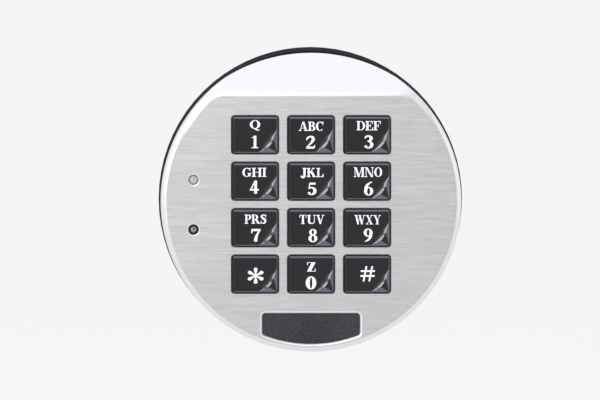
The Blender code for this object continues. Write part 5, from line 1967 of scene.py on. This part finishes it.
@dataclass
class Works(SubAssembly):
    """The pieces behind the face, refined from the CAD nodes.

    Each row gives the node, the piece's name, its body, finish and slot, and the rounding of its edges.
    """

    rows: Tuple[Tuple[str, str, str, object, Slot, float], ...] = (
        ("inner_frame", "frame_plate", LOCK_BODY, HOUSING_BLACK, Slot.BLACK_PLASTIC, 0.00015),
        ("circuit_board", "keypad_board", LOCK_BODY, BOARD_MASK, Slot.BOARD_GREEN, 0.0),
        ("controller_chip", "chip", LOCK_BODY, CHIP_BLACK, Slot.GLOSS_BLACK, 0.0001),
        ("capacitor", "can_capacitor", LOCK_BODY, CAN_SLEEVE, Slot.BATTERY_JACKET, 0.0),
        ("buzzer", "sounder", LOCK_BODY, CHIP_BLACK, Slot.GLOSS_BLACK, 0.0),
        ("cable_socket", "plug_socket", LOCK_BODY, CREAM, Slot.CREAM_PLASTIC, 0.00015),
        ("battery_drawer", "drawer_tray", DRAWER_BODY, HOUSING_BLACK, Slot.BLACK_PLASTIC, 0.0002),
        ("battery", "battery_block", DRAWER_BODY, JACKET, Slot.BATTERY_JACKET, 0.0003),
        ("contact_block", "contact_holder", LOCK_BODY, CREAM, Slot.CREAM_PLASTIC, 0.00015),
        ("contact_positive", "leaf_positive", LOCK_BODY, BRASS, Slot.SPRING_BRASS, 0.0),
        ("contact_negative", "leaf_negative", LOCK_BODY, BRASS, Slot.SPRING_BRASS, 0.0),
        ("set_screw_left", "grub_screw_left", LOCK_BODY, ZINC, Slot.STEEL, 0.0),
        ("set_screw_right", "grub_screw_right", LOCK_BODY, ZINC, Slot.STEEL, 0.0),
    )

    def build(self) -> None:
        """Makes each piece and hands it over."""
        for node, name, body, finish, slot, rounding in self.rows:
            piece = self.bench.copy_of(node, name, rounding)
            self.dress(piece, body, finish, slot, [node])


@dataclass
class Shell(SubAssembly):
    """The housing and the plate on the door, with the foam ring that seals it against the door."""

    front_radius: float = 0.0512
    gasket_inner: float = 0.0415
    gasket_outer: float = 0.0475
    gasket_depth: float = 0.0008
    gasket_rise: float = 0.0001
    gasket_play: float = 0.0001
    gasket_edge: float = 0.0002
    rounding: float = 0.0002

    def build(self) -> None:
        """Makes the housing, the plate and the foam ring."""
        cup = self.bench.copy_of("rear_housing", "housing_cup", self.rounding)
        for vert in cup.data.vertices:
            reach = math.hypot(vert.co.x, vert.co.y)
            if self.front_radius < reach < self.front_radius + GAP:
                vert.co.x *= self.front_radius / reach
                vert.co.y *= self.front_radius / reach
        self.dress(cup, LOCK_BODY, HOUSING_BLACK, Slot.BLACK_PLASTIC, ["rear_housing"])

        plate = self.bench.copy_of("base_plate", "door_plate", self.rounding)
        inner, outer = self.gasket_inner - self.gasket_play, self.gasket_outer + self.gasket_play
        depth = self.gasket_depth
        seat = ((inner, -OVERRUN), (outer, -OVERRUN), (outer, depth), (inner, depth))
        self.bench.cut(plate, [self.bench.lay("gasket_seat", turned(seat, 96, closed=True))])
        self.dress(plate, LOCK_BODY, HOUSING_BLACK, Slot.BLACK_PLASTIC, ["base_plate"])

        low, high, soft = self.gasket_rise, self.gasket_depth - 2 * HAIR, self.gasket_edge
        ring = (
            (self.gasket_inner, high),
            (self.gasket_inner, low + soft),
            (self.gasket_inner + soft, low),
            (self.gasket_outer - soft, low),
            (self.gasket_outer, low + soft),
            (self.gasket_outer, high),
        )
        foam = self.bench.lay("foam_ring", turned(ring, 96, closed=True))
        self.dress(foam, LOCK_BODY, FOAM, Slot.SILICONE)


@dataclass
class Fasteners(SubAssembly):
    """The two sets of four screws, each with a cross recess and a wound thread."""

    recess_width: float = 0.0007
    recess_depth: float = 0.0009
    head_chamfer: float = 0.0003
    ridge: float = 0.00028
    lead: float = 0.0008
    thread_end: float = 0.0008
    sets: Tuple[Tuple[str, float, float, float], ...] = (
        ("bezel_screw", 0.0024, 0.0015, 0.0080),
        ("board_screw", 0.0016, 0.00125, 0.0042),
    )

    def blank(self, radius: float, head: float, shank: float, length: float) -> Object:
        """One screw without its thread, along Z, with the underside of its head at zero.

        Args:
            radius: of the head.
            head: height of the head.
            shank: radius over the thread.
            length: of the shank.

        Returns:
            The screw.
        """
        chamfer, core = self.head_chamfer, shank - self.ridge
        profile = (
            (0, length),
            (0.5 * core, length),
            (core, length - 0.5 * core),
            (core, 0),
            (radius, 0),
            (radius, 2 * chamfer - head),
            (radius - chamfer, chamfer - head),
            (radius - 3 * chamfer, -head),
            (0, -head),
        )
        screw = self.bench.lay("screw", turned(profile, 24))
        arm, half = 0.62 * radius, self.recess_width / 2
        cuts = []
        for width, height in ((arm, half), (half, arm)):
            slot = block(-width, width, -height, height, -head - OVERRUN, self.recess_depth - head)
            cuts.append(self.bench.lay("recess", slot))
        self.bench.cut(screw, cuts)
        return screw

    def build(self, sets: Sets) -> None:
        """Sets out each set of four.

        Args:
            sets: the Geometry Nodes trees.
        """
        for kind, head, shank, threaded in self.sets:
            nodes = numbered(kind)
            low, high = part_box(nodes[0])
            radius, seat = (high[0] - low[0]) / 2, head - high[1]
            length = -low[1] - seat
            spots = middles(nodes)
            sizes = {
                "Columns": 2,
                "Rows": 2,
                "Pitch Across": span(x for x, _ in spots),
                "Pitch Up": span(y for _, y in spots),
                "Turn": math.pi / 2,
                "Thread Radius": shank - self.ridge,
                "Thread Start": length - threaded,
                "Thread Length": threaded - self.thread_end,
                "Lead": self.lead,
                "Ridge": self.ridge,
            }
            pattern = self.blank(radius, head, shank, length)
            zinc = self.finishes(ZINC)
            screws = sets.grow(f"{kind}s_plated", sets.threaded, pattern, zinc, sizes, (0, 0, seat))
            self.dress(screws, LOCK_BODY, ZINC, Slot.STEEL, nodes)


@dataclass
class DomeMat(SubAssembly):
    """The silicone mat: a sheet, and a dome behind each key."""

    sheet_front: float = 0.0323
    dome_front: float = 0.0345
    base_radius: float = 0.0042
    top_radius: float = 0.0030
    foot: float = 0.0004
    flare: float = 0.0001
    keep: float = 0.55
    edge: float = 0.0003
    corner: float = 0.0015

    def build(self, sets: Sets, keypad: Keypad) -> None:
        """Makes the sheet and the twelve domes.

        Args:
            sets: the Geometry Nodes trees.
            keypad: the keys in front of the mat.
        """
        low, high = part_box("key_mat")
        middle = (low[2] + high[2]) / 2
        wide, tall = high[0] - low[0], high[2] - low[2]
        outline = rounded_rectangle(wide, tall, self.corner)
        inner = rounded_rectangle(wide - 2 * self.edge, tall - 2 * self.edge, self.corner - self.edge)
        sections = ((outline, -high[1]), (outline, self.sheet_front - self.edge), (inner, self.sheet_front))
        sheet = self.bench.lay("mat_sheet", lofted(sections), (0, middle, 0))
        self.dress(sheet, LOCK_BODY, MAT_RUBBER, Slot.SILICONE, ["key_mat"])

        rise = self.dome_front - self.sheet_front
        profile = (
            (0, rise),
            (self.top_radius - self.edge, rise),
            (self.top_radius, rise - self.edge),
            (self.top_radius + self.flare, 0.6 * rise),
            (self.base_radius - self.foot, 0.12 * rise),
            (self.base_radius, HAIR),
            (0, HAIR),
        )
        pattern = self.bench.lay("dome", turned(profile, 32))
        columns, rows = len(keypad.names[0]), len(keypad.names)
        across, up = keypad.pitch
        sizes = {"Columns": columns, "Rows": rows, "Pitch Across": across, "Pitch Up": up}
        place = (0, -keypad.drop, self.sheet_front)
        domes = sets.grow("domes", sets.plain, pattern, self.finishes(MAT_RUBBER), sizes, place)
        for name, spot in keypad.places():
            bm = bmesh.new()
            bm.from_mesh(domes.data)
            bmesh.ops.translate(bm, vec=place, verts=bm.verts[:])
            far = [v for v in bm.verts if math.dist(v.co.xy, spot) > 1.2 * self.base_radius]
            bmesh.ops.delete(bm, geom=far, context="VERTS")
            dome = self.bench.lay(f"{name}_dome", mesh_from(bm))
            self.dress(dome, LOCK_BODY, MAT_RUBBER, Slot.SILICONE)
            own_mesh(dome)
        bpy.data.objects.remove(domes, do_unlink=True)


@dataclass
class ChipLegs(SubAssembly):
    """The bent legs at both sides of the controller chip."""

    count: int = 8
    pitch: float = 0.00112
    width: float = 0.00042
    strip: float = 0.00022
    reach: float = 0.0011
    shoulder: float = 0.0008
    root: float = 0.0001
    board_back: float = 0.02918

    def build(self, sets: Sets) -> None:
        """Sets out the legs in one row, each bent down at both ends.

        Args:
            sets: the Geometry Nodes trees.
        """
        low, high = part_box("controller_chip")
        half = (high[0] - low[0]) / 2
        root, knee, foot = half + self.root, half + 0.45 * self.reach, half + self.reach
        right = [(root, -self.shoulder), (knee, -self.strip), (foot, -self.strip)]
        line = [(-x, y) for x, y in reversed(right)] + right
        outline = [(x, y + self.strip) for x, y in line] + line[::-1]
        leg = prism(outline, -self.width / 2, self.width / 2)
        leg.transform(Matrix.Rotation(math.pi / 2, 4, "X"))
        pattern = self.bench.lay("leg", leg)
        sizes = {"Columns": 1, "Rows": self.count, "Pitch Across": 0.0, "Pitch Up": self.pitch}
        place = ((low[0] + high[0]) / 2, (low[2] + high[2]) / 2, self.board_back)
        legs = sets.grow("chip_legs", sets.plain, pattern, self.finishes(ZINC), sizes, place)
        self.dress(legs, LOCK_BODY, ZINC, Slot.STEEL)


@dataclass(frozen=True)
class Lamp:
    """A rectangular lamp that faces the lock.

    The azimuth counts to the right of straight ahead, the elevation from level and the roll about the line
    to the lock, all in degrees. The radiance is how bright its surface is.
    """

    name: str
    azimuth: float
    elevation: float
    distance: float
    width: float
    height: float
    radiance: float
    roll: float = 0.0

    def hang(self) -> None:
        """Puts the lamp in its place."""
        way = direction(math.radians(self.azimuth), math.radians(self.elevation))
        data = bpy.data.lights.new(self.name, "AREA")
        data.shape = "RECTANGLE"
        data.size, data.size_y = self.width, self.height
        data.energy = self.radiance * math.pi * self.width * self.height
        lamp = bpy.data.objects.new(self.name, data)
        lamp.location = way * self.distance
        roll = Quaternion((0, 0, 1), math.radians(self.roll))
        lamp.rotation_euler = (way.to_track_quat("Z", "Y") @ roll).to_euler()
        bpy.context.scene.collection.objects.link(lamp)


@dataclass
class Studio:
    """Pale floor, plain soft light and the camera."""

    bench: Bench
    lamps: Tuple[Lamp, ...] = (
        Lamp("softbox_above", 0.0, 62.0, 1.2, 1.1, 0.8, 0.25),
        Lamp("softbox_left", -80.0, 15.0, 1.2, 1.1, 0.9, 0.25),
        Lamp("softbox_right", 80.0, 15.0, 1.2, 1.1, 0.9, 0.25),
        Lamp("softbox_upper_left_inner", -19.0, 18.5, 1.0, 0.5, 0.24, 2.2, 45.0),
        Lamp("softbox_upper_left_middle", -19.0, 18.5, 1.0, 0.7, 0.42, 0.8, 45.0),
        Lamp("softbox_upper_left_outer", -19.0, 18.5, 1.0, 0.9, 0.7, 0.35, 45.0),
        Lamp("lamp_upper_left", -20.5, 20.5, 1.2, 0.42, 0.15, 21.0, 45.0),
    )
    backdrop: float = 0.913
    fill: float = 0.85
    floor_glow: float = 0.944
    floor_height: float = -0.0985
    floor_reach: float = 6.0
    floor_thickness: float = 0.01
    floor_share: float = 0.8
    distance: float = 2.6
    azimuth: float = math.radians(-0.4)
    elevation: float = math.radians(1.55)
    width_at_face: float = 0.2041
    sensor: float = 36.0
    middle: Point = (311.05, 201.4)
    image: Point = (600.0, 400.0)

    def build(self) -> None:
        """Sets up floor, world, lamps and camera."""
        self.floor()
        self.world()
        for lamp in self.lamps:
            lamp.hang()
        self.camera()

    def floor(self) -> None:
        """The floor, whose colour the camera sees plainly and which keeps the object's shadow."""
        top = self.floor_height
        mesh = rod(self.floor_reach, top - self.floor_thickness, top, 64)
        floor = self.bench.lay("floor", mesh)
        made = bpy.data.materials.new("pale_floor")
        made.use_nodes = True
        w = Wiring(made.node_tree)
        shader = made.node_tree.nodes["Principled BSDF"]
        w.feed(shader, "Base Color", (0.9, 0.9, 0.9, 1))
        w.feed(shader, "Roughness", 0.9)
        w.feed(shader, "Specular IOR Level", 0.0)
        plain = w.add("ShaderNodeEmission", {"Color": (self.floor_glow,) * 3 + (1,), "Strength": 1.0})
        mix = w.add("ShaderNodeMixShader", {0: w.times(self.seen(w), self.floor_share)})
        w.feed(mix, 1, shader.outputs[0])
        w.feed(mix, 2, plain.outputs[0])
        w.feed(made.node_tree.nodes["Material Output"], "Surface", mix.outputs[0])
        floor.data.materials.append(made)

    def seen(self, w: Wiring) -> NodeSocket:
        """Whether a ray comes from the camera, a mirror or glass."""
        path = w.add("ShaderNodeLightPath")
        mirrored = w.maths("MAXIMUM", path.outputs["Is Glossy Ray"], path.outputs["Is Transmission Ray"])
        return w.maths("MAXIMUM", path.outputs["Is Camera Ray"], mirrored)

    def world(self) -> None:
        """Even light from all round, and the plain background for the camera."""
        world = bpy.data.worlds.new("studio")
        world.use_nodes = True
        w = Wiring(world.node_tree)
        light = world.node_tree.nodes["Background"]
        w.feed(light, "Color", (1, 1, 1, 1))
        w.feed(light, "Strength", self.fill)
        plain = w.add("ShaderNodeBackground", {"Color": (self.backdrop,) * 3 + (1,), "Strength": 1.0})
        mix = w.add("ShaderNodeMixShader", {0: self.seen(w)})
        w.feed(mix, 1, light.outputs[0])
        w.feed(mix, 2, plain.outputs[0])
        w.feed(world.node_tree.nodes["World Output"], "Surface", mix.outputs[0])
        bpy.context.scene.world = world

    def camera(self) -> None:
        """The camera of the photograph, a long way off with a small shift."""
        data = bpy.data.cameras.new("camera")
        data.sensor_width = self.sensor
        data.lens = self.sensor * self.distance / self.width_at_face
        data.shift_x = (self.image[0] / 2 - self.middle[0]) / self.image[0]
        data.shift_y = (self.middle[1] - self.image[1] / 2) / self.image[0]
        data.clip_end = 50.0
        camera = bpy.data.objects.new("camera", data)
        way = direction(self.azimuth, self.elevation)
        camera.location = Vector((0, -FACE, 0)) + way * self.distance
        camera.rotation_euler = way.to_track_quat("Z", "Y").to_euler()
        bpy.context.scene.collection.objects.link(camera)
        bpy.context.scene.camera = camera


def main() -> None:
    """Builds the sub-assemblies in order and sets up the studio."""
    logging.basicConfig(level=logging.INFO, format="%(name)s: %(message)s")
    bpy.context.scene.view_settings.view_transform = "Standard"
    bench, finishes = Bench(), Finishes()
    keypad = Keypad(bench, finishes)
    badge = Badge(bench, finishes)
    Bezel(bench, finishes).build(keypad.openings() + [badge.recess()])
    keypad.build()
    Legends(bench, finishes).build(keypad)
    badge.build()
    Indicators(bench, finishes).build()
    Shell(bench, finishes).build()
    sets = Sets(bench)
    Fasteners(bench, finishes).build(sets)
    DomeMat(bench, finishes).build(sets, keypad)
    ChipLegs(bench, finishes).build(sets)
    Works(bench, finishes).build()
    Studio(bench).build()


if __name__ == "__main__":
    main()
